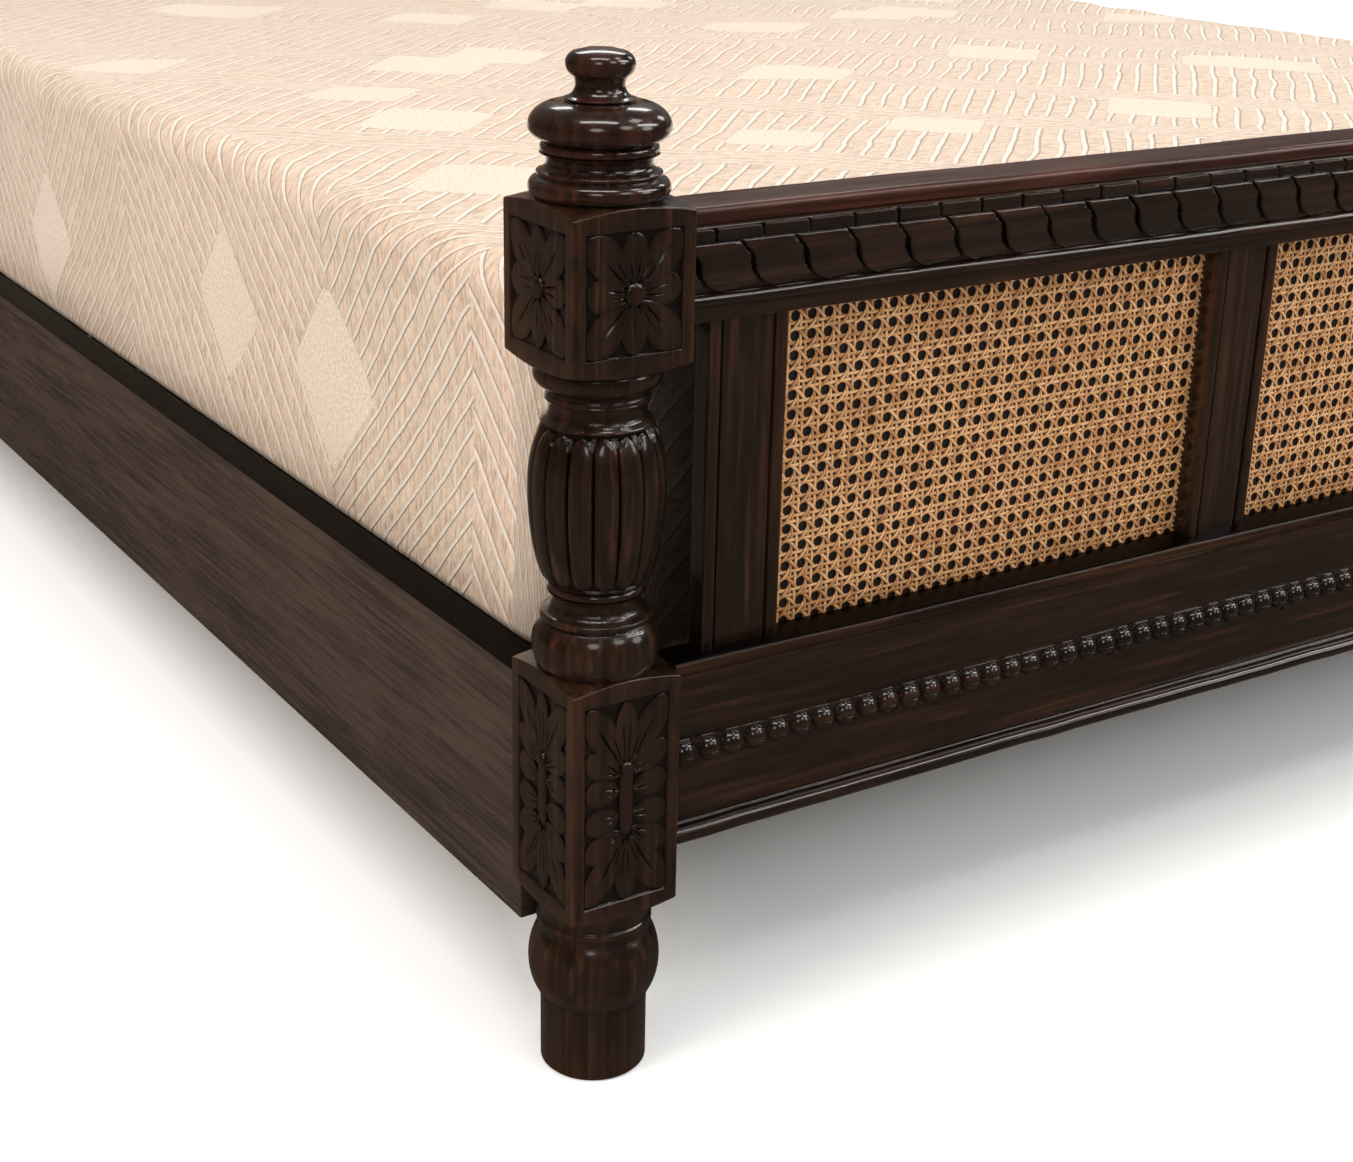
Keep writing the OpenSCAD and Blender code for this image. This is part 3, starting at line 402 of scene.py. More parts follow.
def make_lacquer(name, along, dark, brown, red, rough=0.3, coat=0.55, fineness=150.0, show=(0.42, 0.72),
                 rubbed_and_lit=0.25, pores=0.5, bump=0.25, coat_rough=0.1, painted_top_shade=0.0, patch=0.45, wet=0.25):
    """Stained and lacquered wood: dark, brown where the stain is thin, red in streaks and on arrises."""
    material, tree = new_material(name)
    place = node(tree, "ShaderNodeTexCoord").outputs["Object"]
    turned_place = node(tree, "ShaderNodeMapping",
                        {"Vector": place, "Rotation": GRAIN_ALONG[along]}).outputs[0]
    grain = use_group(tree, GRAIN, {"Vector": turned_place, "Fineness": fineness,
                                    "Pore Depth": pores}).outputs
    worn_and_lit = use_group(tree, RUBBED_AND_LIT, {"Vector": place, "Amount": rubbed_and_lit}).outputs["Mask"]
    glaze_and_shade = use_group(tree, GLAZE_AND_SHADE, {"Vector": place}).outputs["Mask"]
    mix = plus(tree, times(tree, grain["Patch"], patch), times(tree, grain["Streak"], 1 - patch))
    base = blend_colour(tree, ramp(tree, mix, *show), rgb(dark), rgb(brown))
    base = blend_colour(tree, times(tree, ramp(tree, grain["Streak"], 0.55, 0.75), 0.6), base, rgb(red))
    # Red-brown where the lacquer is worn from the arrises, and as a painted highlight on the lit carved edges
    base = blend_colour(tree, worn_and_lit, base, rgb(red, 1.2))
    # Near black in the hollows: glazing, and painted shade
    base = blend_colour(tree, glaze_and_shade, base, rgb(dark, 0.15))
    base = blend_colour(tree, times(tree, grain["Pore"], 0.5), base, rgb(dark, 0.4))
    shine = SHINE
    # Painted shade: the colour of an upper face is darkened to near black, and its shine lowered
    if painted_top_shade:                                     # an upper face in shade is dull and near black
        up = facing(tree)["Z"]
        base = blend_colour(tree, times(tree, ramp(tree, up, 0.5, 0.9), painted_top_shade), base, rgb(dark, 0.13))
        shine = ramp(tree, up, 0.5, 0.9, SHINE, SHINE - 0.17 * painted_top_shade)
    roughness = ramp(tree, mix, 0.3, 0.7, rough - 0.05, rough + 0.1)
    uneven = noise(tree, place, 38.0, 2.0)
    height = plus(tree, times(tree, grain["Height"], 0.6), times(tree, uneven, 2.2))
    normal = node(tree, "ShaderNodeBump", {"Strength": bump, "Distance": 0.0004, "Height": height}).outputs[0]
    # The coat lies in uneven drops in the hollows, where it glints
    drops = times(tree, noise(tree, place, 520.0, 2.0), mesh_mark(tree, "hollow"))
    wavy = plus(tree, drops, times(tree, uneven, 0.25))
    film = node(tree, "ShaderNodeBump", {"Strength": wet, "Distance": 0.004, "Height": wavy}).outputs[0]
    shader = node(tree, "ShaderNodeBsdfPrincipled", {
        "Base Color": base, "Roughness": roughness, "Normal": normal, "IOR": 1.5, "Specular IOR Level": shine,
        "Coat Weight": coat, "Coat Normal": film, "Coat Roughness": coat_rough, "Coat IOR": 1.5})
    node(tree, "ShaderNodeOutputMaterial", {"Surface": shader.outputs[0]})
    return material


ESPRESSO, BROWN, RED = (0.0100, 0.0052, 0.0028), (0.044, 0.0188, 0.0088), (0.078, 0.0255, 0.0115)
LACQUER = {along: make_lacquer("lacquer_" + along, along, ESPRESSO, BROWN, RED, coat=0.75, fineness=190.0)
           for along in GRAIN_ALONG}
POLISH = make_lacquer("lacquer_turned", "up", (0.0075, 0.0045, 0.0032), (0.034, 0.0125, 0.0068),
                      (0.085, 0.0210, 0.0095), rough=0.25, coat=0.9, bump=0.12, show=(0.39, 0.67), pores=0.3,
                      coat_rough=0.10, wet=0.1)
print("woods:", [m.name for m in bpy.data.materials])

# %% [markdown]
# ## From lists of points to pieces
#
# Every carved or turned piece below is a set of closed shells. A shell is a list of points, a list of
# faces, and the two marks for the lacquer. The Stock class collects the shells of one piece and turns them
# into one mesh, so that a post or a frieze is a single object that rides on the bed frame.


# %% Shells and pieces
class Stock:
    """Collects closed shells, in millimetres, and makes them one piece."""

    def __init__(self):
        self.points, self.faces, self.hollow, self.arris, self.count = [], [], [], [], 0

    def add(self, points, faces, hollow=0.0, arris=0.0):
        points = np.asarray(points, float).reshape(-1, 3)
        self.faces += [tuple(int(i) + self.count for i in face) for face in faces]
        self.points.append(points)
        for marks, values in ((self.hollow, hollow), (self.arris, arris)):
            marks.append(np.broadcast_to(np.asarray(values, float).ravel(), (len(points),)))
        self.count += len(points)

    def mesh(self, name):
        """One mesh of all the shells, in metres, with the two marks."""
        mesh = bpy.data.meshes.new(name)
        mesh.from_pydata((np.concatenate(self.points) * MM).tolist(), [], self.faces)
        for label, values in (("hollow", self.hollow), ("arris", self.arris)):
            mark_points(mesh, label, np.clip(np.concatenate(values), 0, 1))
        return mesh

    def make(self, name, material, replaces, sharp=50):
        mesh = self.mesh(name)
        mesh.materials.append(material)
        smooth(mesh, sharp)
        return settle(add_object(name, mesh), replaces)


def mark_points(mesh, label, values):
    """Stores a number for each point of a mesh, for the materials to read."""
    mesh.attributes.new(label, "FLOAT", "POINT").data.foreach_set("value", values.astype(np.float32))


def smooth(mesh, sharp):
    """Shades a mesh smooth, apart from edges that turn by more than sharp degrees."""
    mesh.shade_smooth()
    mesh.set_sharp_from_angle(angle=math.radians(sharp))


def settle(piece, replaces=(), body="bed_frame"):
    if replaces:
        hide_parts(*replaces)
    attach(piece, body)
    return piece


def ring_faces(rows, columns):
    """Quads between rings that lie above each other, and a fan to each of the two poles, the last points."""
    faces = []
    for i in range(rows - 1):
        for j in range(columns):
            k = (j + 1) % columns
            faces.append((i * columns + j, i * columns + k, (i + 1) * columns + k, (i + 1) * columns + j))
    low, high, top = rows * columns, rows * columns + 1, (rows - 1) * columns
    for j in range(columns):
        k = (j + 1) % columns
        faces.append((low, k, j))
        faces.append((high, top + j, top + k))
    return faces


def sheet_faces(rows, columns):
    """Quads of an open grid, row by row."""
    return [(i * columns + j, i * columns + j + 1, (i + 1) * columns + j + 1, (i + 1) * columns + j)
            for i in range(rows - 1) for j in range(columns - 1)]


def arc(cx, cz, rx, rz, a0, a1, n=10):
    """Points along an elliptical arc, angles in degrees."""
    return [(cx + rx * math.cos(math.radians(a0 + (a1 - a0) * i / n)),
             cz + rz * math.sin(math.radians(a0 + (a1 - a0) * i / n))) for i in range(n + 1)]


def soften(outline, radius=0.6, corner=24.0):
    """Rounds each sharp corner of an outline, as lacquer and sandpaper do."""
    made = [outline[0]]
    for a, b, c in zip(outline, outline[1:], outline[2:]):
        p, q, r = np.array(a, float), np.array(b, float), np.array(c, float)
        u, v = q - p, r - q
        lu, lv = np.linalg.norm(u), np.linalg.norm(v)
        if lu < 1e-6 or lv < 1e-6:
            continue
        turn = math.degrees(math.acos(max(-1.0, min(1.0, float(u @ v) / lu / lv))))
        if turn < corner:
            made.append(tuple(q))
            continue
        d = min(radius, 0.45 * lu, 0.45 * lv)
        start, end = q - u / lu * d, q + v / lv * d
        made += [tuple(start), tuple(0.25 * start + 0.5 * q + 0.25 * end), tuple(end)]
    made.append(outline[-1])
    return made


# %% [markdown]
# ## Turned work
#
# A lathe makes a body of revolution: an outline of radius and height that is swept round the axis. The
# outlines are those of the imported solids, with more points and softened corners. The marks come from the
# outline itself: a point that stands proud of its neighbours along the outline is an arris, and one that
# lies deeper is a hollow.


# %% Turning
def outline_marks(outline, reach=5.0):
    """(hollow, arris) for each point of an outline, from its radius against the average nearby."""
    pts = np.array(outline, float)
    along = np.concatenate([[0], np.cumsum(np.hypot(*np.diff(pts, axis=0).T))])
    near = np.array([np.interp(np.linspace(s - reach, s + reach, 15), along, pts[:, 0]).mean()
                     for s in along])
    proud = pts[:, 0] - near
    return np.clip(-proud / 2.2, 0, 1), np.clip(proud / 1.4, 0, 1)


def turned(stock, outline, x, y, z=0.0, segments=96, reeds=None):
    """Adds a turned shell whose outline runs upwards. reeds(angle, radius, height) may change the radius."""
    outline = soften([p for p in outline if p[0] > 0])
    hollow, arris = outline_marks(outline)
    angle = np.linspace(0, 2 * math.pi, segments, endpoint=False)
    radius = np.array([p[0] for p in outline])[:, None] + 0 * angle[None, :]
    height = np.array([p[1] for p in outline])[:, None] + 0 * angle[None, :]
    cut = np.zeros_like(radius)
    if reeds is not None:
        radius, cut = reeds(angle[None, :], radius, height)
    points = np.stack([x + radius * np.cos(angle), y + radius * np.sin(angle), z + height], axis=-1)
    poles = [[x, y, z + outline[0][1]], [x, y, z + outline[-1][1]]]
    rows = len(outline)
    stock.add(np.concatenate([points.reshape(-1, 3), poles]), ring_faces(rows, segments),
              np.concatenate([np.maximum(hollow[:, None], cut).ravel(), [0, 0]]),
              np.concatenate([(arris[:, None] * (1 - cut)).ravel(), [0, 0]]))


# Sizes of the posts, as in the part's source
BED_W, BED_L = 1618.0, 2212.0
BLOCK_W, LOW_BLOCK_W = 80.8, 76.6
POST_X, POST_Y = BED_W / 2 - BLOCK_W / 2, BED_L / 2 - BLOCK_W / 2
LOW_BLOCK = (125.0, 279.3)
HIGH_BLOCK = (475.7, 564.3)
HEAD_RISE = 500.0
HEAD_BLOCK = (HIGH_BLOCK[0] + HEAD_RISE, HIGH_BLOCK[1] + HEAD_RISE)
SHOULDER = 4.0
FOOT_R, FOOT_H, BALL_R, VASE_R, FINIAL_R, KNOB_R = 34.5, 50.0, 42.4, 41.9, 40.8, 19.8
VASE_BASE, VASE_NECK, REEDS = 55.0, 36.0, 16


def foot_outline(top):
    return ([(FOOT_R - 2, 0), (FOOT_R, 2), (FOOT_R, FOOT_H), (FOOT_R + 0.8, FOOT_H)]
            + arc(BALL_R - 20, FOOT_H + 27, 20, 32, -52, 47, 18)
            + [(36, FOOT_H + 54), (37, FOOT_H + 55.5), (37, FOOT_H + 59), (35.5, FOOT_H + 60),
               (35.5, FOOT_H + 62), (36.5, top - 4), (37.5, top), (37.5, top + 2)])


def vase_outline(z0, z1):
    low, high = z0 + VASE_BASE, z1 - VASE_NECK
    rise = high - low
    middle = low + 0.613 * rise
    return ([(36.5, z0 - 2)] + arc(28.6, z0 + 13, 11, 18, -50, 70, 14)
            + [(34.5, z0 + 31), (34.5, z0 + 34), (33.2, z0 + 34.5)]
            + arc(33.4, z0 + 42, 6.4, 7, 270, 120, 10)
            + arc(26.5, z0 + 50, 2.8, 3, -80, 80, 8)
            + arc(25, middle, VASE_R - 25, 0.613 * rise * 1.089, -66.7, 0, 20)
            + arc(25, middle, VASE_R - 25, 0.387 * rise * 1.132, 6, 62, 14)
            + [(33.6, high + 0.5), (34.2, z1 - 34), (33.4, z1 - 33)]
            + arc(34, z1 - 26, 4.6, 6.5, 250, 120, 9)
            + [(31.2, z1 - 19.5), (31.2, z1 - 17.5), (30.4, z1 - 17), (30.4, z1 - 15.5)]
            + arc(31.5, z1 - 5, 7.2, 8, -75, 50, 10) + [(36, z1 + 2)])


def finial_outline():
    return ([(37.5, 0)] + arc(FINIAL_R - 5.9, 5.9, 5.9, 5.9, -60, 70, 12)
            + [(35.2, 12.2), (36, 13.5), (36, 14.8)] + arc(36.5, 20, 6.1, 5, 250, 110, 9)
            + arc(31.2, 27.6, 2.7, 2.9, -80, 80, 8)
            + arc(22, 39.2, FINIAL_R - 22, 9.5, -60, 0, 10)
            + arc(22, 39.2, FINIAL_R - 22, 14, 8, 88, 16)
            + [(17.5, 52.6), (17.5, 53.4), (20.6, 53.8), (20.6, 54.8)]
            + arc(21.5, 62, 7.4, 7.2, 260, 130, 10)
            + arc(KNOB_R - 8, 73, 8, 7.6, -50, 62, 14) + [(9, 81.4), (2, 82)])


# %% [markdown]
# The reeds on each vase are sixteen rounded ribs with a narrow, deep groove between them. Each rib ends in
# a round tongue at the top and the bottom, so near the ends of the bulb the groove widens until the ribs
# have closed. A formula for the radius does this in one go: it is the plain radius, less the groove, with a
# slight crown on each rib.


# %% Reeding
def reeding(z0, z1, groove=1.3, depth=3.0, crown=0.7):
    """Returns the function that reeds a vase between its block heights z0 and z1."""
    low, high = z0 + VASE_BASE + 1.5, z1 - VASE_NECK - 1.0

    def reed(angle, radius, height):
        share = angle * REEDS / (2 * math.pi)
        off = np.abs(share - np.round(share)) * 2          # 0 in the middle of a rib, 1 in its groove
        half = math.pi * radius / REEDS                    # half the width of a rib here
        end = np.minimum(height - low, high - height)      # distance to the nearer end of the ribs
        cap = 9.0
        full = np.sqrt(np.clip(1 - (1 - np.clip(end, 0, cap) / cap) ** 2, 0, 1))
        edge = (half - groove * 0.5) * full                # where the rib ends and its groove starts
        dist = off * half - edge
        inside = (height > low - 2.0) & (height < high + 2.0)
        fall = np.clip((dist + 0.5) / 1.1, 0, 1)
        fall = fall * fall * (3 - 2 * fall)
        near_end = np.clip(end / 2.5 + 0.9, 0, 1)
        cut = np.where(inside, fall, 0) * near_end
        rib = np.where(end > 0, crown * (np.clip(off * half / np.maximum(edge, 1e-3), 0, 1)) ** 2, 0)
        return radius - depth * cut - np.where(inside, rib * (1 - cut), 0), cut

    return reed


foot_points = foot_outline(LOW_BLOCK[0] - SHOULDER)
vase_points = vase_outline(LOW_BLOCK[1] + SHOULDER, HIGH_BLOCK[0] - SHOULDER)
print("a foot post is turned from", len(foot_points) + len(vase_points), "outline points")

# %% [markdown]
# ## Square blocks
#
# The square parts of a post were left square while the rest was turned, and the lathe rounded their ends: a
# cone cuts across the four faces, so each face ends in a shallow curve. The ring of points round the block
# is denser where a carved field begins, because the same rings press that field back into the face.

# %% Blocks
FIELD_DEPTH, FIELD_BORDER, CORNER = 1.9, 8.5, 1.5
FIELD_FLOOR, PETAL_TOP = -FIELD_DEPTH, -0.1
ARRIS = ((0.0, 1.2), (0.16, 0.6), (0.6, 0.16), (1.2, 0.0))      # (inset, drop) along a rounded edge
SIDE_NORMALS = {"right": 0, "back": 1, "left": 2, "front": 3}


def face_frame(side):
    """Outward direction and left-to-right direction of a side, seen from outside."""
    a = SIDE_NORMALS[side] * math.pi / 2
    return np.array([math.cos(a), math.sin(a)]), np.array([-math.sin(a), math.cos(a)])


def block(stock, x, y, w, z0, z1, carved):
    """Adds a square block with rounded ends, and sinks a field into each side named in carved."""
    slope = SHOULDER / (w / math.sqrt(2) - w / 2)
    field = w / 2 - FIELD_BORDER
    edges = np.array([0.6, 0.0, -0.5, -0.9])
    inner = np.linspace(-field + 4, field - 4, 7)
    outer = np.array([w / 2 - CORNER, (w / 2 - CORNER + field + 0.6) / 2])
    columns_u = np.sort(np.concatenate([inner, field + edges, -field - edges, outer, -outer]))
    z_field = (z0 + FIELD_BORDER, z1 - FIELD_BORDER)
    levels = np.sort(np.concatenate([z_field[0] - edges, z_field[1] + edges,
                                     np.linspace(z_field[0] + 6, z_field[1] - 6, 5)]))
    plan, ring_u, ring_side, ring_arris = [], [], [], []
    for side in ("right", "back", "left", "front"):
        n, t = face_frame(side)
        for u in columns_u:
            plan.append(n * w / 2 + t * u)
            ring_u.append(u)
            ring_side.append(side)
            ring_arris.append(np.interp(abs(u), [field - 1, field + 0.3, w / 2 - CORNER], [0.0, 0.45, 0.75]))
        for step in (1, 2, 3):
            a = step * math.pi / 8
            centre = w / 2 - CORNER
            plan.append(n * (centre + CORNER * math.cos(a)) + t * (centre + CORNER * math.sin(a)))
            ring_u.append(1e3)
            ring_side.append("corner")
            ring_arris.append(1.0)
    plan, ring_u = np.array(plan), np.array(ring_u)
    rho = np.hypot(*plan.T)
    unit = plan / rho[:, None]
    ends = SHOULDER - slope * (rho - w / 2)          # how far the faces reach past the corners

    rows, hollow, arris = [], [], []

    def row(inset, z, mark=0.0, sunk=None, dark=0.0):
        p = unit * (rho - inset)[:, None] if np.ndim(inset) or inset else plan
        z = np.broadcast_to(z, (len(plan),))
        if sunk is not None:
            p = p - sunk
        rows.append(np.column_stack([p[:, 0] + x, p[:, 1] + y, z]))
        hollow.append(np.broadcast_to(dark, (len(plan),)))
        arris.append(np.broadcast_to(mark, (len(plan),)))

    flat = rho - (w / 2 - 1.6)
    row(rho - 20, z0 - SHOULDER, dark=0.7)
    row(flat, z0 - SHOULDER, dark=0.4)
    for inset, rise in ARRIS[::-1]:
        row(inset, z0 - ends + rise, 0.7)
    for z in levels:
        d = np.minimum(field - np.abs(ring_u), min(z - z_field[0], z_field[1] - z))
        sink = np.where(np.isin(ring_side, list(carved)),
                        np.interp(d, [-0.6, 0, 0.5, 0.9], [0, 0.15, 1.2, FIELD_DEPTH]), 0.0)
        push = np.array([face_frame(s)[0] if s != "corner" else (0, 0) for s in ring_side]) * sink[:, None]
        row(0.0, z, np.where(sink > 0.3, 0.0, ring_arris), push, np.clip(sink / FIELD_DEPTH, 0, 1))
    for inset, rise in ARRIS:
        row(inset, z1 + ends - rise, 0.7)
    row(flat, z1 + SHOULDER, dark=0.3)
    row(rho - 20, z1 + SHOULDER, dark=0.7)
    poles = [[x, y, z0 - SHOULDER], [x, y, z1 + SHOULDER]]
    stock.add(np.concatenate([np.concatenate(rows), poles]), ring_faces(len(rows), len(plan)),
              np.concatenate([np.concatenate(hollow), [1, 1]]),
              np.concatenate([np.concatenate(arris), [0, 0]]))


# %% [markdown]
# ## Carved petals
#
# Each sunk field holds a traditional flower: eight petals round a boss on the upper blocks, and a long boss
# with two fans and three petals on each side on the lower ones. The field could be one very fine height
# map, but a petal whose rows and columns follow its own outline stays crisp with few faces. A petal is a
# low slab with a rounded rim, and its gouge cuts are V-shaped valleys along some of its columns.


# %% Slabs and petals
def slab(stock, top, base, place, hollow, arris):
    """Closes a grid of (across, along, height) points, rows x columns, down to the height base.

    place turns the local (right, up, out) points into the bed's frame. Rows run along the slab, and columns
    across it."""
    across, along = top[0, -1] - top[0, 0], top[-1, 0] - top[0, 0]
    if across[0] * along[1] > across[1] * along[0]:      # turned so that the faces look outwards
        top, hollow, arris = top[:, ::-1], hollow[:, ::-1], arris[:, ::-1]
    rows, columns = top.shape[:2]
    rim = ([(i, 0) for i in range(rows - 1)] + [(rows - 1, j) for j in range(columns - 1)]
           + [(i, columns - 1) for i in range(rows - 1, 0, -1)] + [(0, j) for j in range(columns - 1, 0, -1)])
    index = [i * columns + j for i, j in rim]
    lower = top.reshape(-1, 3)[index].copy()
    lower[:, 2] = base
    n, m = rows * columns, len(index)
    faces = [f[::-1] for f in sheet_faces(rows, columns)]
    for k in range(m):
        a, b = k, (k + 1) % m
        faces.append((index[a], index[b], n + b, n + a))
    faces.append(tuple(n + k for k in range(m)))
    points = place(np.concatenate([top.reshape(-1, 3), lower]))
    stock.add(points, faces, np.concatenate([hollow.ravel(), np.ones(m)]),
              np.concatenate([arris.ravel(), np.zeros(m)]))


def petal(stock, place, start, tip, half, cuts, limits, rows=15, blunt=0.6):
    """One petal from start to tip. A cut is (side -1..1, from, to, depth), in shares of width and length."""
    start, tip = np.array(start, float), np.array(tip, float)
    along = tip - start
    length = np.hypot(*along)
    along = along / length
    left = np.array([-along[1], along[0]])
    lanes = set(np.round([-1, -0.94, -0.82, -0.62, -0.4, -0.2, 0, 0.2, 0.4, 0.62, 0.82, 0.94, 1], 3))
    for s, *_ in cuts:
        valley = np.round([s - 0.11, s - 0.05, s, s + 0.05, s + 0.11], 3)
        lanes = {v for v in lanes if abs(v - s) > 0.12} | set(valley)
    s = np.array(sorted(lanes))[None, :]
    t = (0.004 + 0.992 * (1 - np.cos(np.linspace(0.15, math.pi, rows))) / 2)[:, None]
    t = (t - t[0]) / (t[-1] - t[0]) * 0.992 + 0.004
    width = half * np.sin(np.pi * t ** 1.35) ** blunt + 0.15
    u = start[0] + along[0] * t * length + left[0] * s * width
    v = start[1] + along[1] * t * length + left[1] * s * width
    u, v = np.clip(u, -limits[0], limits[0]), np.clip(v, -limits[1], limits[1])
    rim = np.abs(s) ** 4
    near = np.clip(1 - t / 0.22, 0, 1) ** 2
    end = np.clip((t - 0.86) / 0.14, 0, 1) ** 2
    h = PETAL_TOP - 0.62 * rim - 0.5 * near - 0.4 * end + 0 * s * t
    # Painted shade: darker at the rim, near the boss and at the tip, by the hollow mark
    dark = 0.55 * rim + 0.8 * near + 0.3 * end + 0 * s * t
    for side, t0, t1, depth in cuts:
        fade = np.clip((t - t0) / 0.08, 0, 1) * np.clip((t1 - t) / 0.16, 0, 1)
        vee = np.clip(1 - np.abs(s - side) / 0.1, 0, 1) * fade
        h = h - 1.3 * depth * vee
        dark = np.maximum(dark, vee)
    # Painted highlight: a lighter band along each petal's shoulder, by the arris mark
    shine = np.clip(1 - dark * 1.4, 0, 1) * np.clip(1 - np.abs(np.abs(s) - 0.72) / 0.3, 0, 1) * 0.5
    top = np.stack([u, v, np.maximum(h, FIELD_FLOOR + 0.12)], axis=-1)
    slab(stock, top, FIELD_FLOOR - 0.25, place, dark, shine)


def boss(stock, place, centre, half_long, radius, height):
    """A domed boss, round or drawn out upwards by half_long on each side of its centre."""
    rows, hollow = [], []
    columns, foot = 28, FIELD_FLOOR - 0.2
    a = np.linspace(0, 2 * math.pi, columns, endpoint=False)
    stretch = half_long * np.tanh(3.0 * np.sin(a))
    for share, lift, dark in ((1.0, 0.0, 1.0), (1.0, 0.45, 0.5), (0.95, 0.7, 0.1), (0.8, 0.88, 0),
                              (0.55, 0.97, 0), (0.25, 1.0, 0)):
        rows.append(np.column_stack([centre[0] + radius * share * np.cos(a),
                                     centre[1] + radius * share * np.sin(a) + stretch * (0.25 + 0.75 * share),
                                     np.full(columns, foot + lift * (height - foot))]))
        hollow.append(np.full(columns, dark))
    middle = [[*centre, foot], [*centre, height]]
    points = place(np.concatenate([np.concatenate(rows), middle]))
    stock.add(points, ring_faces(len(rows), columns), np.concatenate([np.concatenate(hollow), [1, 0]]), 0.15)


def on_side(x, y, z, w, side):
    """Returns the function that lays local (right, up, out) points on a block's side, centred on height z."""
    n, t = face_frame(side)

    def place(p):
        plan = (p[:, 0:1] * t) + (w / 2 + p[:, 2:3]) * n
        return np.column_stack([x + plan[:, 0], y + plan[:, 1], z + p[:, 1]])

    return place


def square_flower(stock, place, w, z0, z1):
    """Eight petals round a boss, for an upper block."""
    lim = (w / 2 - FIELD_BORDER - 0.7, (z1 - z0) / 2 - FIELD_BORDER - 0.7)
    r = 5.2
    upper = [(-0.36, 0.1, 0.55, 1.0), (0.36, 0.1, 0.5, 1.0), (0.0, 0.3, 0.62, 0.5)]
    left = [(-0.3, 0.08, 0.5, 1.0), (0.3, 0.08, 0.4, 1.0)]
    right = [(-0.32, 0.05, 0.6, 1.0), (0.25, 0.05, 0.66, 1.0)]
    petal(stock, place, (0, r), (0, lim[1]), 9.0, upper, lim)
    petal(stock, place, (0, -r), (0, -lim[1]), 8.2, [(0.0, 0.3, 0.6, 0.9)], lim)
    petal(stock, place, (-r, 0), (-lim[0], 1.0), 9.8, left, lim, blunt=0.45)
    petal(stock, place, (r, 0), (lim[0], 2.5), 9.2, right, lim, blunt=0.5)
    rising = [(0.0, 0.08, 0.78, 1.15), (0.5, 0.1, 0.42, 0.8)]
    falling = [(0.12, 0.08, 0.6, 1.15), (-0.42, 0.12, 0.5, 0.9)]
    for sx, sy in ((-1, 1), (1, 1), (1, -1), (-1, -1)):
        tip = (sx * (lim[0] - 1.2), sy * (lim[1] - 1.4))
        petal(stock, place, (sx * r * 0.7, sy * r * 0.75), tip, 11.2, rising if sx * sy > 0 else falling, lim)
    boss(stock, place, (0, 0), 0, 6.6, 2.0)


def long_flower(stock, place, w, z0, z1):
    """Two fans and six side petals round an upright boss, for a lower block."""
    lim = (w / 2 - FIELD_BORDER - 0.7, (z1 - z0) / 2 - FIELD_BORDER - 0.7)
    rib = [(-0.3, 0.12, 0.7, 0.8), (0.3, 0.12, 0.7, 0.8)]
    for sy in (1, -1):
        petal(stock, place, (0, sy * 26), (0, sy * lim[1]), 7.6, rib, lim, rows=17)
        for sx in (1, -1):
            swing = [(0.05, 0.12, 0.74, 1.15), (0.5 * sx * sy, 0.1, 0.5, 0.9)]
            petal(stock, place, (sx * 2.6, sy * 24), (sx * (lim[0] - 1.5), sy * (lim[1] - 1.2)), 10.2, swing,
                  lim, rows=17)
            cuts = [(-0.28, 0.06, 0.5, 1.0), (0.28, 0.06, 0.42, 1.0)]
            petal(stock, place, (sx * 4, sy * 19), (sx * lim[0], sy * 35), 8.6, cuts, lim, blunt=0.5)
            petal(stock, place, (sx * 4.4, sy * 8.4), (sx * lim[0], sy * 11.5), 8.9, cuts[::sy * sx or 1],
                  lim, blunt=0.42)
    boss(stock, place, (0, 2.0), 19.5, 4.9, 0.4)
    boss(stock, place, (0, 23.0), 0, 4.6, 2.1)


# %% [markdown]
# ## Posts and finials
#
# Now the posts can be put together: foot, carved block, reeded vase, carved block, and on the tall head
# posts the same vase and block again. The carving is on the front and on the outer side of every block.


# %% Posts
def make_post(name, side, end, tall):
    stock = Stock()
    x, y = side * POST_X, end * POST_Y
    outer = "right" if side > 0 else "left"
    turned(stock, foot_outline(LOW_BLOCK[0] - SHOULDER), x, y)
    blocks = [(LOW_BLOCK_W, *LOW_BLOCK), (BLOCK_W, *HIGH_BLOCK)] + ([(BLOCK_W, *HEAD_BLOCK)] if tall else [])
    for k, (w, z0, z1) in enumerate(blocks):
        block(stock, x, y, w, z0, z1, ("front", outer))
        for face in ("front", outer):
            flower = long_flower if k == 0 else square_flower
            flower(stock, on_side(x, y, (z0 + z1) / 2, w, face), w, z0, z1)
    for lower, upper in zip(blocks, blocks[1:]):
        z0, z1 = lower[2] + SHOULDER, upper[1] - SHOULDER
        turned(stock, vase_outline(z0, z1), x, y, segments=192, reeds=reeding(z0, z1))
    return stock.make(name + "_carved", LACQUER["up"], [name], sharp=40)


def make_finial(name, side, end, z):
    stock = Stock()
    turned(stock, finial_outline(), side * POST_X, end * POST_Y, z + SHOULDER, segments=96)
    return stock.make(name + "_turned", POLISH, [name])


for side_name, side in (("left", -1), ("right", 1)):
    for end_name, end, top in (("foot", -1, HIGH_BLOCK[1]), ("head", 1, HEAD_BLOCK[1])):
        post = make_post("post_" + end_name + "_" + side_name, side, end, end_name == "head")
        make_finial("finial_" + end_name + "_" + side_name, side, end, top)
        print(post.name, len(post.data.polygons), "faces")

# %% [markdown]
# ## Rails, stiles and mouldings
#
# The joiner's parts are long bars with one section. A section is a closed list of corners; each sharp one
# is rounded a little and marked as an arris or a hollow. The bar is cut into stations along its length, and
# each station is moved by a few tenths of a millimetre. A plane and sandpaper leave such slow waves, and
# they keep the long reflections alive.

# %% Bars
FOOT_FRONT, HEAD_FRONT = -1106.0, 1025.2
TOP_SPAN, LOW_SPAN = 1456.4, 1460.6


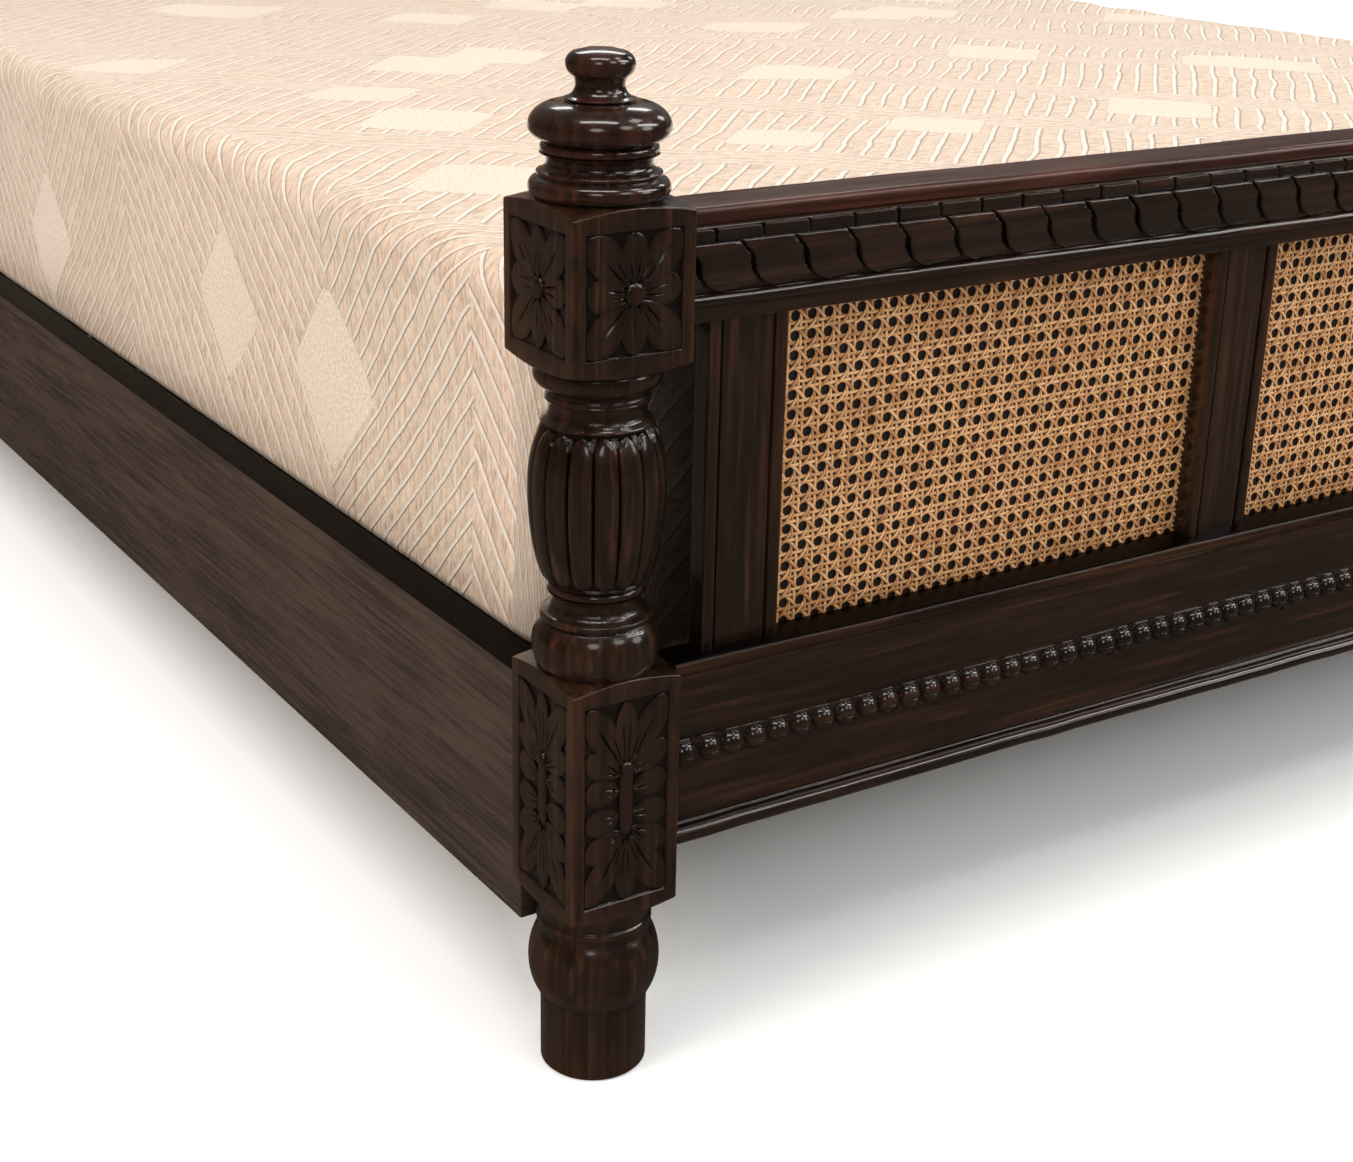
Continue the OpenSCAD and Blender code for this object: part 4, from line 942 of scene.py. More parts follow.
def waves(s, seed, size, lengths=(530, 210, 95, 41)):
    """Slow, small deviations along a length."""
    rng = np.random.default_rng(seed)
    total = np.zeros_like(s, dtype=float)
    for k, length in enumerate(lengths):
        turn = 2 * np.pi / (length * rng.uniform(0.8, 1.25))
        total += np.sin(s * turn + rng.uniform(0, 6.28)) / (k + 1.5)
    return size * total


def rounded(section, radius=0.8, fade=3.0):
    """Rounds the sharp corners of a closed section, and marks them: points, hollow, arris."""
    points, hollow, arris = [], [], []
    n = len(section)
    for i in range(n):
        p, q, r = (np.array(section[(i + k) % n], float) for k in (-1, 0, 1))
        u, v = q - p, r - q
        lu, lv = np.hypot(*u), np.hypot(*v)
        u, v = u / lu, v / lv
        turn = math.degrees(math.atan2(u[0] * v[1] - u[1] * v[0], float(u @ v)))
        if abs(turn) < 26:
            points.append(q)
            hollow.append(0.0)
            arris.append(0.1)
            continue
        d = min(radius, 0.3 * lu, 0.3 * lv)
        before, after = min(d + fade, 0.48 * lu), min(d + fade, 0.48 * lv)
        for spot, mark in ((q - u * before, 0.0), (q - u * d, 0.55), (q - (u - v) * d * 0.29, 1.0),
                           (q + v * d, 0.55), (q + v * after, 0.0)):
            points.append(spot)
            hollow.append(mark if turn < 0 else 0.0)
            arris.append(mark if turn > 0 else 0.0)
    return np.array(points), np.array(hollow), np.array(arris)


def bar(stock, section, start, end, axis="X", at=(0, 0), wave=0.2, seed=1, radius=0.8, step=24.0, fade=3.0):
    """Adds a bar along an axis. Its section is drawn anticlockwise in (Y, Z), (Z, X) or (X, Y)."""
    k = "XYZ".index(axis)
    points, hollow, arris = rounded(section, radius, fade)
    count = max(2, int(abs(end - start) / step) + 1)
    s = np.linspace(start, end, count)
    made = np.zeros((count, len(points), 3))
    made[..., (k + 1) % 3] = points[None, :, 0] + at[0] + waves(s, seed, wave)[:, None]
    made[..., (k + 2) % 3] = points[None, :, 1] + at[1] + waves(s, seed + 500, wave)[:, None]
    made[..., k] = s[:, None]
    n = len(points)
    faces = ring_faces(count, n)[: (count - 1) * n]
    faces += [tuple(range(n - 1, -1, -1)), tuple((count - 1) * n + j for j in range(n))]
    stock.add(made, faces, np.tile(hollow, count), np.tile(arris, count))


def box_section(a0, a1, b0, b1):
    return [(a0, b0), (a1, b0), (a1, b1), (a0, b1)]


def cap_section():
    return [(24, 0.5), (24.6, 0), (65, 0), (65, 8), (63, 10)] + arc(28, 6, 4, 4, 90, 180, 5)


def ledge_section():
    return [(10, 0), (35.4, 0), (35.4, 10)] + arc(11, 7, 3, 3, 90, 180, 4) + [(8, 3)]


def base_section():
    return [(7.75, 0), (12.5, 0), (12.5, 10.5), (9, 10.5)] + arc(7.75, 5.25, 5.25, 5.25, 90, 262, 9)


def stile_section():
    half = [(21.5, 46), (21.5, 35.4), (28.5, 35.4), (28.5, 20.6), (27.6, 19.9), (25, 19.6), (21.2, 19.9),
            (20, 20.8), (20, 23), (18, 23), (18, 21.5)]
    return [(-a, b) for a, b in half] + [(a, b) for a, b in half[::-1]]


def make_bar(name, section, span, front, z, material, seed, wave=0.2):
    """One bar across the bed, for example a rail."""
    stock = Stock()
    bar(stock, section, -span / 2, span / 2, "X", (front, z), wave, seed)
    stock.make(name + "_planed", material, [name])


def rail_section(z0, z1, groove_z=None):
    """A deep rail. Above its base moulding runs a narrow groove, which its hollow mark paints near black,
    as glazing and painted shade.
    """
    front = [(12, z1), (12, z0)]
    if groove_z is not None:
        front = [(12, z1), (12, groove_z + 2.6), (13.6, groove_z + 2.0), (13.6, groove_z + 0.2),
                 (12, groove_z - 0.4), (12, z0)]
    return [(50, z0), (50, z1)] + front


# %% Boards
BAY_TOP, TOP_RAIL_H, FRIEZE_H = 493.0, 17.0, 39.0
LEDGE_Z, MID_RAIL_Z, MID_LEDGE_Z = 273.0, 475.7, 554.3
BEAD_R, LOW_RAIL_Z, BASE_H, PEARL_Z = 3.5, 160.6, 10.5, 59.5


def make_board(end, front, rise, bay_low, span, rail_z, rail_top, seed):
    """Everything of a foot or head board that is planed, from its cap to its base moulding."""
    wood = LACQUER["across"]
    top = BAY_TOP + rise
    rail = "foot_bottom_rail" if end == "foot" else "head_mid_rail"
    make_bar(end + "_cap", cap_section(), TOP_SPAN, front, top + TOP_RAIL_H + FRIEZE_H, CAP_WOOD, seed, 0.3)
    make_bar(end + "_top_rail", box_section(17, 46, 0, TOP_RAIL_H), TOP_SPAN, front, top, wood, seed + 1,
             0.15)
    nose = arc(17, 0, BEAD_R, BEAD_R, 90, 270, 8)
    make_bar(end + "_bead", nose + [(18, -BEAD_R), (18, BEAD_R)], TOP_SPAN, front,
             top + TOP_RAIL_H - BEAD_R - 0.5, POLISH_ACROSS, seed + 2, 0.4)
    make_bar(end + "_ledge", ledge_section(), span, front, bay_low - 10, LEDGE_WOOD, seed + 3, 0.35)
    make_bar(rail, rail_section(rail_z, rail_top, rail_z + BASE_H), span, front, 0, wood, seed + 4, 0.15)
    make_bar(end + "_base_moulding", base_section(), span, front, rail_z, POLISH_ACROSS, seed + 5, 0.55)
    for k, (side, x) in enumerate((("end_stile_left", -676), ("mid_stile_left", -253.5),
                                   ("mid_stile_right", 253.5), ("end_stile_right", 676))):
        stock = Stock()
        bar(stock, stile_section(), bay_low, top, "Z", (x, front), 0.15, seed + 10 + k, 0.5, fade=2.0)
        stock.make(end + "_" + side + "_planed", LACQUER["up"], [end + "_" + side])


POLISH_ACROSS = make_lacquer("lacquer_mouldings", "across", (0.0075, 0.0045, 0.0032), (0.030, 0.0125, 0.007),
                             (0.062, 0.018, 0.009), rough=0.25, coat=0.8, bump=0.2, show=(0.44, 0.74),
                             pores=0.3, coat_rough=0.12, wet=0.3)
CAP_WOOD = make_lacquer("lacquer_cap", "across", (0.030, 0.0110, 0.007), (0.090, 0.031, 0.019),
                        (0.120, 0.036, 0.020), coat=0.22, fineness=190.0, coat_rough=0.18)
# The ledge's upper faces get the painted top shade
LEDGE_WOOD = make_lacquer("lacquer_ledge", "across", ESPRESSO, BROWN, RED, coat=0.06, coat_rough=0.2,
                          fineness=190.0, painted_top_shade=1.0)
make_board("foot", FOOT_FRONT, 0, LEDGE_Z + 10, LOW_SPAN, LOW_RAIL_Z, LEDGE_Z, 20)
make_board("head", HEAD_FRONT, HEAD_RISE, MID_LEDGE_Z + 10, TOP_SPAN, MID_RAIL_Z, MID_LEDGE_Z, 60)
make_bar("head_bottom_rail", rail_section(LOW_RAIL_Z, LEDGE_Z), LOW_SPAN, HEAD_FRONT, 0, LACQUER["across"],
         90)

# %% [markdown]
# ## The carved frieze and the pearls
#
# The carver worked along the top of each board with one motif: a row of leaning tongues that overlap like
# scales, under a band of short blocks, with a string of pearls on the rail below. This is a job for
# Geometry Nodes. One part of each kind is modelled, and a tree sets it along a line, each copy turned,
# moved and scaled a little, because they were cut by hand. The tree's inputs are named, and the seed is
# fixed.


# %% Rows of carving
def make_row_tree():
    """Geometry Nodes: copies of a part along a line, each a little different."""
    tree, inp, out = group_tree(
        "hand_carved_row",
        [("Geometry", "Geometry", None), ("Part", "Object", None), ("Count", "Int", 10),
         ("Pitch", "Float", 0.04), ("Shift", "Float", 0.0), ("Stretch", "Float", 0.02),
         ("Tilt", "Float", 0.0), ("Seed", "Int", 1), ("Material", "Material", None)],
        [("Geometry", "Geometry")], "GeometryNodeTree")
    asked = inp.outputs
    step = node(tree, "ShaderNodeCombineXYZ", {"X": asked["Pitch"]}).outputs[0]
    line = node(tree, "GeometryNodeMeshLine", {"Count": asked["Count"], "Offset": step}, mode="OFFSET")

    def vary(amount, offset, spread):
        """A random vector for each copy, within the amount times the spread to either side."""
        low, high = scaled(tree, [-v for v in spread], amount), scaled(tree, list(spread), amount)
        seed = plus(tree, asked["Seed"], float(offset))
        return node(tree, "FunctionNodeRandomValue", {0: low, 1: high, "Seed": seed},
                    data_type="FLOAT_VECTOR").outputs[0]

    shift, tilt = vary(asked["Shift"], 0, (1, 0.35, 0.35)), vary(asked["Tilt"], 90, (0.3, 1, 0.3))
    size = vector_math(tree, "ADD", vary(asked["Stretch"], 50, (1, 0.6, 1)), (1, 1, 1))
    moved = node(tree, "GeometryNodeSetPosition", {"Geometry": line.outputs["Mesh"], "Offset": shift})
    part = node(tree, "GeometryNodeObjectInfo", {"Object": asked["Part"]}, transform_space="ORIGINAL")
    copies = node(tree, "GeometryNodeInstanceOnPoints", {
        "Points": moved.outputs[0], "Instance": part.outputs["Geometry"], "Scale": size, "Rotation": tilt})
    real = node(tree, "GeometryNodeRealizeInstances", {"Geometry": copies.outputs[0]})
    hand_over(tree, real.outputs[0], asked["Material"], out)
    return tree


def hand_over(tree, geometry, material, out):
    """Ends a Geometry Nodes tree: the geometry gets its material and goes to the output."""
    done = node(tree, "GeometryNodeSetMaterial", {"Geometry": geometry, "Material": material})
    tree.links.new(done.outputs[0], out.inputs[0])


def make_part(name, stock):
    """A loose part that only serves as the model for copies."""
    return bpy.data.objects.new(name, stock.mesh(name))


def grow(tree, name, start, inputs, replaces=(), sharp=50):
    """Runs a Geometry Nodes tree on a host, and turns the result into a piece moved to start."""
    host = add_object(name + "_host", bpy.data.meshes.new(name + "_host"))
    modifier = host.modifiers.new("grow", "NODES")
    modifier.node_group = tree
    sockets = {s.name: s.identifier for s in tree.interface.items_tree
               if s.item_type == "SOCKET" and s.in_out == "INPUT"}
    for key, value in inputs.items():
        modifier[sockets[key]] = value
    bpy.context.view_layer.update()
    grown = host.evaluated_get(bpy.context.evaluated_depsgraph_get())
    mesh = bpy.data.meshes.new_from_object(grown)
    host.modifiers.clear()
    bpy.data.objects.remove(host)
    mesh.name = name
    mesh.transform(Matrix.Translation([v * MM for v in start]))
    smooth(mesh, sharp)
    return settle(add_object(name, mesh), replaces)


# %% [markdown]
# A tongue is bounded by two curves. Its left edge starts at the top, runs down in a lazy S and swings round
# into the tip; its right edge is nearly the left edge of its neighbour, drawn in at half height, which
# leaves the small dark eye between two tongues. The left edge stands proud, so each tongue seems to lie
# over the one before.

# %% Tongues, blocks and pearls
TONGUE_COUNT, TONGUE_H, RELIEF_Y, RELIEF = 38, 30.5, 18.0, 6.5
TONGUE_PITCH = TOP_SPAN / TONGUE_COUNT
NOTCH_COUNT, NOTCH_PITCH, PEARL_COUNT = 44, 33.2, 82
LEFT_EDGE = np.array([(0.3, 30), (0.8, 27), (1.8, 22), (3.5, 18), (6, 14.8), (9, 12.3), (12, 10.8), (16, 9.8),
                      (19, 9.3), (21.5, 8.3), (26, 4), (30.5, 0)])
RIGHT_EDGE = np.array([(0.3, 26), (0.8, 29), (1.6, 37), (2.5, 44), (3.5, 49.0), (4.5, 53.8), (6, 52.2),
                       (9, 49.2), (12, 46.8), (16, 45.2), (19, 45.3), (21.5, 45.8), (24.5, 43.0), (26, 41.3),
                       (30.5, 37.7)])


def to_front(p):
    """Lays local (right, up, out) points on a face that looks to the front."""
    return np.column_stack([p[:, 0], -p[:, 2], p[:, 1]])


def slab_part(name, u, z, h, dark, lit):
    """A part for copies: one slab whose top has the height h over (u, z)."""
    stock = Stock()
    slab(stock, np.stack([u, z + 0 * u, h], axis=-1), -0.8, to_front, dark, lit)
    return make_part(name, stock)


def tongue_part():
    """One leaning tongue, which seems to lie over the one before it."""
    z = np.array([0.35, 0.7, 1.2, 2, 3, 4.2, 5.6, 7.4, 9.6, 12, 14.2, 16.4, 18.6, 20.6, 22.4, 24.4, 26.6,
                  28.6, 29.7, 30.25, 30.5])[:, None]
    s = np.array([0, 0.02, 0.06, 0.14, 0.3, 0.5, 0.7, 0.86, 0.95, 0.985, 1.0])[None, :]
    left = np.interp(z[:, 0], LEFT_EDGE[:, 0], LEFT_EDGE[:, 1])[:, None]
    right = np.interp(z[:, 0], RIGHT_EDGE[:, 0], RIGHT_EDGE[:, 1])[:, None]
    u = left + (right - left) * s
    swell = np.sqrt(np.clip(1 - (1 - np.clip(z / (TONGUE_H * 0.8), 0, 1)) ** 2, 0, 1))
    h = 1.0 + (RELIEF - 1.6) * swell + 0.6 * (1 - s) - 0.25 * s
    fall = np.interp(s, [0, 0.02, 0.06, 0.14, 0.9, 0.985, 1.0], [1.1, 0.25, 0.0, 0, 0, 0.35, 1.2])
    head = np.interp(z, [28.6, 29.7, 30.25, 30.5], [0, 0.05, 0.3, 0.9])
    h = np.maximum(h - fall - head, 0.3)
    # Painted shade at the falling edges and the foot of each tongue, by the hollow mark; painted highlight
    # along its top and its proud left edge, by the arris mark
    dark = np.clip(fall + 0.35 * np.clip(1 - z / 5.0, 0, 1), 0, 1) + 0 * u
    lit = np.where((z > 28) & (s > 0.01) & (s < 0.99), 0.9, 0.0) + 0.35 * ((s > 0.015) & (s < 0.1)) + 0 * u
    return slab_part("tongue", u, z, h, dark, lit)


def notch_part(width):
    """A short block of the upper band, its right shoulder rounded off by one cut of a gouge."""
    z = np.array([0, 0.35, 1.0, 2.2, 4.0, 5.4, 6.4, 7.2, 7.8, 8.2])[:, None]
    s = np.array([0, 0.35, 1.2, 3.0, 8.0, 14.0, 20, 25, 28, 30, 31.4, 32.2]) / 32.2 * width
    reach = width - 4.4 * (1 - np.sqrt(np.clip(1 - (np.clip(z - 4.2, 0, 4.0) / 4.0) ** 2, 0, 1)))
    u = s[None, :] * reach / width
    rim = np.minimum(np.minimum(u, reach - u), np.minimum(z, 8.2 - z))
    h = 3.4 - 0.9 * np.clip(1 - rim / 0.9, 0, 1) ** 2 + 0 * u
    # Painted shade round the rim, by the hollow mark, and a painted highlight along the top, by the arris
    # mark
    dark = np.clip(1 - rim / 0.5, 0, 1) * 0.7 + 0 * u
    lit = 0.8 * ((z > 7.0) & (z < 8.2)) * np.ones_like(u)
    return slab_part("notch", u, z, h, dark, lit)


def pearl_part(radius, out=7.0, seam=0.55):
    """A carved pearl, a little flat, with the seam where two gouge cuts met, its back sunk in the strip."""
    stock = Stock()
    rows, hollow = [], []
    a = np.linspace(0, 2 * np.pi, 18, endpoint=False)
    for tilt in (-78, -58, -40, -26, -15, -9, -6, -3, 3, 14, 30, 48, 66, 80):
        t = math.radians(tilt)
        cut = seam * max(0.0, 1 - abs(tilt + 6) / 3.2)
        x, y = (radius * math.cos(t) - cut) * np.cos(a), -(out * math.cos(t) - cut) * np.sin(a)
        rows.append(np.column_stack([x, np.minimum(y, 1.5), np.full(18, radius * math.sin(t))]))
        hollow.append(np.clip(cut / seam + (y > -1.2), 0, 1))
    ends = [[0, 0, -radius], [0, 0, radius]]
    stock.add(np.concatenate([np.concatenate(rows), ends]), [f[::-1] for f in ring_faces(len(rows), 18)],
              np.concatenate([np.concatenate(hollow), [1, 1]]), 0.1)
    # The wedges that the carver left between two pearls, above and below them
    for side, sign in itertools.product((-1, 1), (-1, 1)):
        u = side * 8.9
        top = np.array([[[u - 4.0, sign * 8.6, 0.5], [u, sign * 6.2, 1.2], [u + 4.0, sign * 8.6, 0.5]],
                        [[u - 4.2, sign * 9.2, 0.6], [u, sign * 9.2, 1.3], [u + 4.2, sign * 9.2, 0.6]]])
        slab(stock, top[::sign], -1.0, to_front, np.zeros((2, 3)), np.ones((2, 3)) * 0.5)
    return make_part("pearl", stock)


ROW = make_row_tree()
TONGUE, NOTCH, PEARL = tongue_part(), notch_part(32.2), pearl_part(8.5)


def carve_board(end, front, rise, span, pearl_z, seed):
    z = BAY_TOP + rise + TOP_RAIL_H
    stock = Stock()
    bar(stock, box_section(RELIEF_Y, 46, 0, FRIEZE_H), -TOP_SPAN / 2, TOP_SPAN / 2, "X", (front, z), 0.1,
        seed)
    stock.make(end + "_frieze_ground", LACQUER["across"], [end + "_frieze"])
    carved = {"Seed": seed, "Material": CARVED}
    grow(ROW, end + "_frieze_tongues", (-TOP_SPAN / 2 - 48.3 + 11.2, front + RELIEF_Y, z),
         dict(carved, Part=TONGUE, Count=TONGUE_COUNT + 1, Pitch=TONGUE_PITCH * MM, Shift=0.35 * MM,
              Stretch=0.012, Tilt=0.006))
    grow(ROW, end + "_frieze_notches", (-TOP_SPAN / 2 - 9.0, front + RELIEF_Y, z + TONGUE_H),
         dict(carved, Part=NOTCH, Count=NOTCH_COUNT, Pitch=NOTCH_PITCH * MM, Shift=0.5 * MM, Stretch=0.03,
              Tilt=0.008, Seed=seed + 3))
    strip = Stock()
    bar(strip, box_section(10.4, 12.6, -9.4, 9.4), -span / 2, span / 2, "X", (front, pearl_z), 0.25, seed + 7,
        0.5)
    strip.make(end + "_pearl_ground", CARVED, [end + "_pearls"])
    grow(ROW, end + "_pearl_string", (-span / 2 + span / PEARL_COUNT / 2, front + 11.0, pearl_z),
         dict(carved, Part=PEARL, Count=PEARL_COUNT, Pitch=span / PEARL_COUNT * MM, Shift=0.45 * MM,
              Stretch=0.05, Tilt=0.1, Seed=seed + 5))


CARVED = make_lacquer("lacquer_carved", "across", (0.0100, 0.0056, 0.0034), (0.038, 0.0168, 0.0086),
                      (0.070, 0.0225, 0.0110), rough=0.28, coat=0.85, bump=0.2, show=(0.44, 0.72), pores=0.4,
                      coat_rough=0.10, wet=1.0)
carve_board("foot", FOOT_FRONT, 0, LOW_SPAN, LOW_RAIL_Z + PEARL_Z, 11)
carve_board("head", HEAD_FRONT, HEAD_RISE, TOP_SPAN, (MID_RAIL_Z + BASE_H + MID_LEDGE_Z) / 2, 31)

# %% [markdown]
# ## Cane webbing
#
# Six-way cane webbing repeats one small cell: two strands up, two across, and a diagonal each way. The
# strands pass over and under each other, so the height of every strand is a wave along its length. One cell
# is modelled with its hole in the middle, and a tree lays it out on a grid, welds the seams, and lets the
# strands wander a little.

# %% One cell of the weave
PITCH_X, PITCH_Z, STRAND_HALF, STRAND_OFF = 12.7, 12.6, 1.2, 4.4
WEBBING_Y, WELD = 35.6, 0.00003                # the weld's reach is in metres


def strand(stock, start, end, height, steps, section):
    """A flat strand from start to end; height(x, y) is its lift, and section its points (across, up)."""
    start, end = np.array(start, float), np.array(end, float)
    way = (end - start) / np.hypot(*(end - start))
    left = np.array([-way[1], way[0]])
    t = np.asarray(steps, float)
    line = start[None, :] + (end - start)[None, :] * t[:, None]
    lift = np.array([height(*p) for p in line])
    points = np.zeros((len(t), len(section), 3))
    for j, (a, b) in enumerate(section):
        points[:, j, :2] = line + left * a
        points[:, j, 2] = lift + b
    faces = ring_faces(len(t), len(section))[: (len(t) - 1) * len(section)]
    # The lower points are marked hollow: there the cane paints its shade
    stock.add(points, faces, np.tile([0.95 if b < 0 else 0.0 for a, b in section], len(t)),
              np.tile([1.0 if b < 0 else 0.0 for a, b in section], len(t)))
    return np.tile(left, (points.size // 3, 1))


def cell_part(name, section, across_steps, diagonal_steps):
    stock, lefts = Stock(), []
    p, q = PITCH_X, PITCH_Z
    off = STRAND_OFF

    def upright(sign):
        return lambda x, y: sign * 0.35 * math.sin(2 * math.pi * (y - q / 2) / q)

    def level(sign):
        return lambda x, y: -sign * 0.35 * math.sin(2 * math.pi * (x - p / 2) / p)

    def diagonal(sign):
        return lambda x, y: -sign * 0.95 * math.tanh(2.2 * math.cos(2 * math.pi * x / p)) / math.tanh(2.2)

    for sign in (1, -1):
        lefts.append(strand(stock, (sign * off, -q / 2), (sign * off, q / 2), upright(sign), across_steps,
                            section))
        lefts.append(strand(stock, (-p / 2, sign * off * q / p), (p / 2, sign * off * q / p), level(sign),
                            across_steps, section))
    for a, b, sign in (((p / 2, 0), (0, q / 2), 1), ((0, -q / 2), (-p / 2, 0), 1),
                       ((-p / 2, 0), (0, q / 2), -1), ((0, -q / 2), (p / 2, 0), -1)):
        lefts.append(strand(stock, a, b, diagonal(sign), diagonal_steps, section))
    part = make_part(name, stock)
    way = np.concatenate(lefts)
    across = np.column_stack([way[:, 0], np.zeros(len(way)), way[:, 1]])
    part.data.attributes.new("across", "FLOAT_VECTOR", "POINT").data.foreach_set(
        "vector", across.astype(np.float32).ravel())
    return part


HALF = 0.5 - STRAND_OFF / PITCH_X
fine_cell = cell_part("cane_cell", [(-STRAND_HALF, -0.14), (STRAND_HALF, -0.14), (0.65, 0.3), (-0.65, 0.3)],
                      (0, HALF, 0.5, 1 - HALF, 1), (0, 0.25, 0.5, 0.75, 1))
plain_cell = cell_part("cane_cell_plain", [(-STRAND_HALF, -0.14), (STRAND_HALF, -0.14), (0, 0.34)],
                       (0, HALF, 0.5, 1 - HALF, 1), (0, 0.5, 1))
print("one cell of webbing:", len(fine_cell.data.polygons), "faces")

# %% [markdown]
# The webbing is trimmed to the rebates of its bay. At the ledge it was cut through a row of holes, and the
# cut ends show as a row of small teeth.


# %% Webbing
def make_webbing_tree():
    """Geometry Nodes: a grid of woven cells, welded together, its strands wandering a little."""
    tree, inp, out = group_tree(
        "cane_webbing",
        [("Geometry", "Geometry", None), ("Cell", "Object", None), ("Columns", "Int", 10),
         ("Rows", "Int", 10), ("Pitch Across", "Float", PITCH_X * MM), ("Pitch Up", "Float", PITCH_Z * MM),
         ("Wander", "Float", 0.0004), ("Seed", "Int", 1), ("Material", "Material", None)],
        [("Geometry", "Geometry")], "GeometryNodeTree")
    asked = inp.outputs
    wide = times(tree, minus(tree, asked["Columns"], 1.0), asked["Pitch Across"])
    tall = times(tree, minus(tree, asked["Rows"], 1.0), asked["Pitch Up"])
    grid = node(tree, "GeometryNodeMeshGrid", {"Size X": wide, "Size Y": tall, "Vertices X": asked["Columns"],
                                               "Vertices Y": asked["Rows"]})
    cell = node(tree, "GeometryNodeObjectInfo", {"Object": asked["Cell"]}, transform_space="ORIGINAL")
    copies = node(tree, "GeometryNodeInstanceOnPoints", {"Points": grid.outputs["Mesh"],
                                                         "Instance": cell.outputs["Geometry"]})
    real = node(tree, "GeometryNodeRealizeInstances", {"Geometry": copies.outputs[0]})
    welded = node(tree, "GeometryNodeMergeByDistance", {"Geometry": real.outputs[0], "Distance": WELD})
    shift = node(tree, "ShaderNodeCombineXYZ", {"Z": times(tree, asked["Seed"], 3.7)}).outputs[0]
    spot = vector_math(tree, "ADD", node(tree, "GeometryNodeInputPosition").outputs[0], shift)
    offset = scaled(tree, drift(tree, spot, 55.0, 2.0), asked["Wander"])
    moved = node(tree, "GeometryNodeSetPosition", {"Geometry": welded.outputs[0], "Offset": offset})
    hand_over(tree, moved.outputs[0], asked["Material"], out)
    return tree


def make_cane():
    """Golden cane: every strand has a tone of its own, and its skin shines a little. Its flanks are
    painted darker, as painted shade.
    """
    material, tree = new_material("cane")
    place = node(tree, "ShaderNodeTexCoord").outputs["Object"]
    across = node(tree, "ShaderNodeAttribute", attribute_name="across").outputs["Vector"]
    along = vector_math(tree, "CROSS_PRODUCT", across, (0, 1, 0))
    u, v = dot(tree, place, across), dot(tree, place, along)
    apart = node(tree, "ShaderNodeSeparateXYZ", {0: across}).outputs
    kind = plus(tree, times(tree, apart["X"], 3.1), times(tree, apart["Z"], 7.7))

    def on_strand(across_scale, along_scale):
        """The place in the strand's own directions, for a noise that is drawn out along it."""
        return node(tree, "ShaderNodeCombineXYZ", {"X": times(tree, u, across_scale),
                                                   "Y": times(tree, v, along_scale), "Z": kind}).outputs[0]

    tone = noise(tree, on_strand(330.0, 5.0), 1.0, 1.0)
    fibre = noise(tree, on_strand(5200.0, 90.0), 1.0, 2.0)
    mottle = noise(tree, place, 150.0, 3.0)
    base = blend_colour(tree, ramp(tree, tone, 0.36, 0.62), rgb(CANE_DARK), rgb(CANE_LIGHT))
    base = blend_colour(tree, ramp(tree, mottle, 0.5, 0.72, 0.0, 0.5), base, rgb(CANE_BROWN))
    base = blend_colour(tree, ramp(tree, fibre, 0.5, 0.7, 0.0, 0.3), base, rgb(CANE_DARK))
    # Painted shade: the strands' flanks, marked hollow, turn brown
    base = blend_colour(tree, times(tree, mesh_mark(tree, "hollow"), 1.1, True), base, rgb(CANE_BROWN))
    normal = node(tree, "ShaderNodeBump", {"Strength": 0.35, "Distance": 0.0002, "Height": fibre}).outputs[0]
    shader = node(tree, "ShaderNodeBsdfPrincipled", {"Base Color": base, "Normal": normal,
                                                     "Roughness": ramp(tree, fibre, 0.3, 0.7, 0.34, 0.5)})
    node(tree, "ShaderNodeOutputMaterial", {"Surface": shader.outputs[0]})
    return material


def trim(piece, planes):
    """Cuts a piece by planes, each a point and the direction of what goes, and closes every cut end."""
    bm = bmesh.new()
    bm.from_mesh(piece.data)
    for point, away in planes:
        bmesh.ops.bisect_plane(bm, geom=bm.verts[:] + bm.edges[:] + bm.faces[:], dist=1e-6,
                               plane_co=[v * MM for v in point], plane_no=away, clear_outer=True)
    bmesh.ops.holes_fill(bm, edges=[e for e in bm.edges if e.is_boundary], sides=12)
    bm.to_mesh(piece.data)
    bm.free()


def cane_bay(end, side, front, centre, width, z0, z1, cell, seed):
    """The webbing of one bay, with the pattern running on from the left bay's first column of holes."""
    left, right, margin = centre - width / 2, centre + width / 2, 6.4
    first = FIRST_HOLE + PITCH_X * math.ceil((left - 3.5 - FIRST_HOLE - PITCH_X / 2) / PITCH_X)
    columns = math.ceil((right + margin - first - PITCH_X / 2) / PITCH_X) + 1
    low = z0 - 0.3
    rows = math.ceil((z1 + margin - low - PITCH_Z / 2) / PITCH_Z) + 1
    piece = grow(WEBBING, end + "_webbing_" + side, (0, 0, 0),
                 {"Cell": cell, "Columns": columns, "Rows": rows, "Seed": seed, "Material": CANE},
                 [end + "_cane_" + side], sharp=70)
    middle = (first + (columns - 1) * PITCH_X / 2, front + WEBBING_Y, low + (rows - 1) * PITCH_Z / 2)
    piece.data.transform(Matrix.Rotation(math.pi / 2, 4, "X"))
    piece.data.transform(Matrix.Translation([v * MM for v in middle]))
    trim(piece, [((left - margin, 0, 0), (-1, 0, 0)), ((right + margin, 0, 0), (1, 0, 0)),
                 ((0, 0, low - 0.9), (0, 0, -1)), ((0, 0, z1 + margin), (0, 0, 1))])


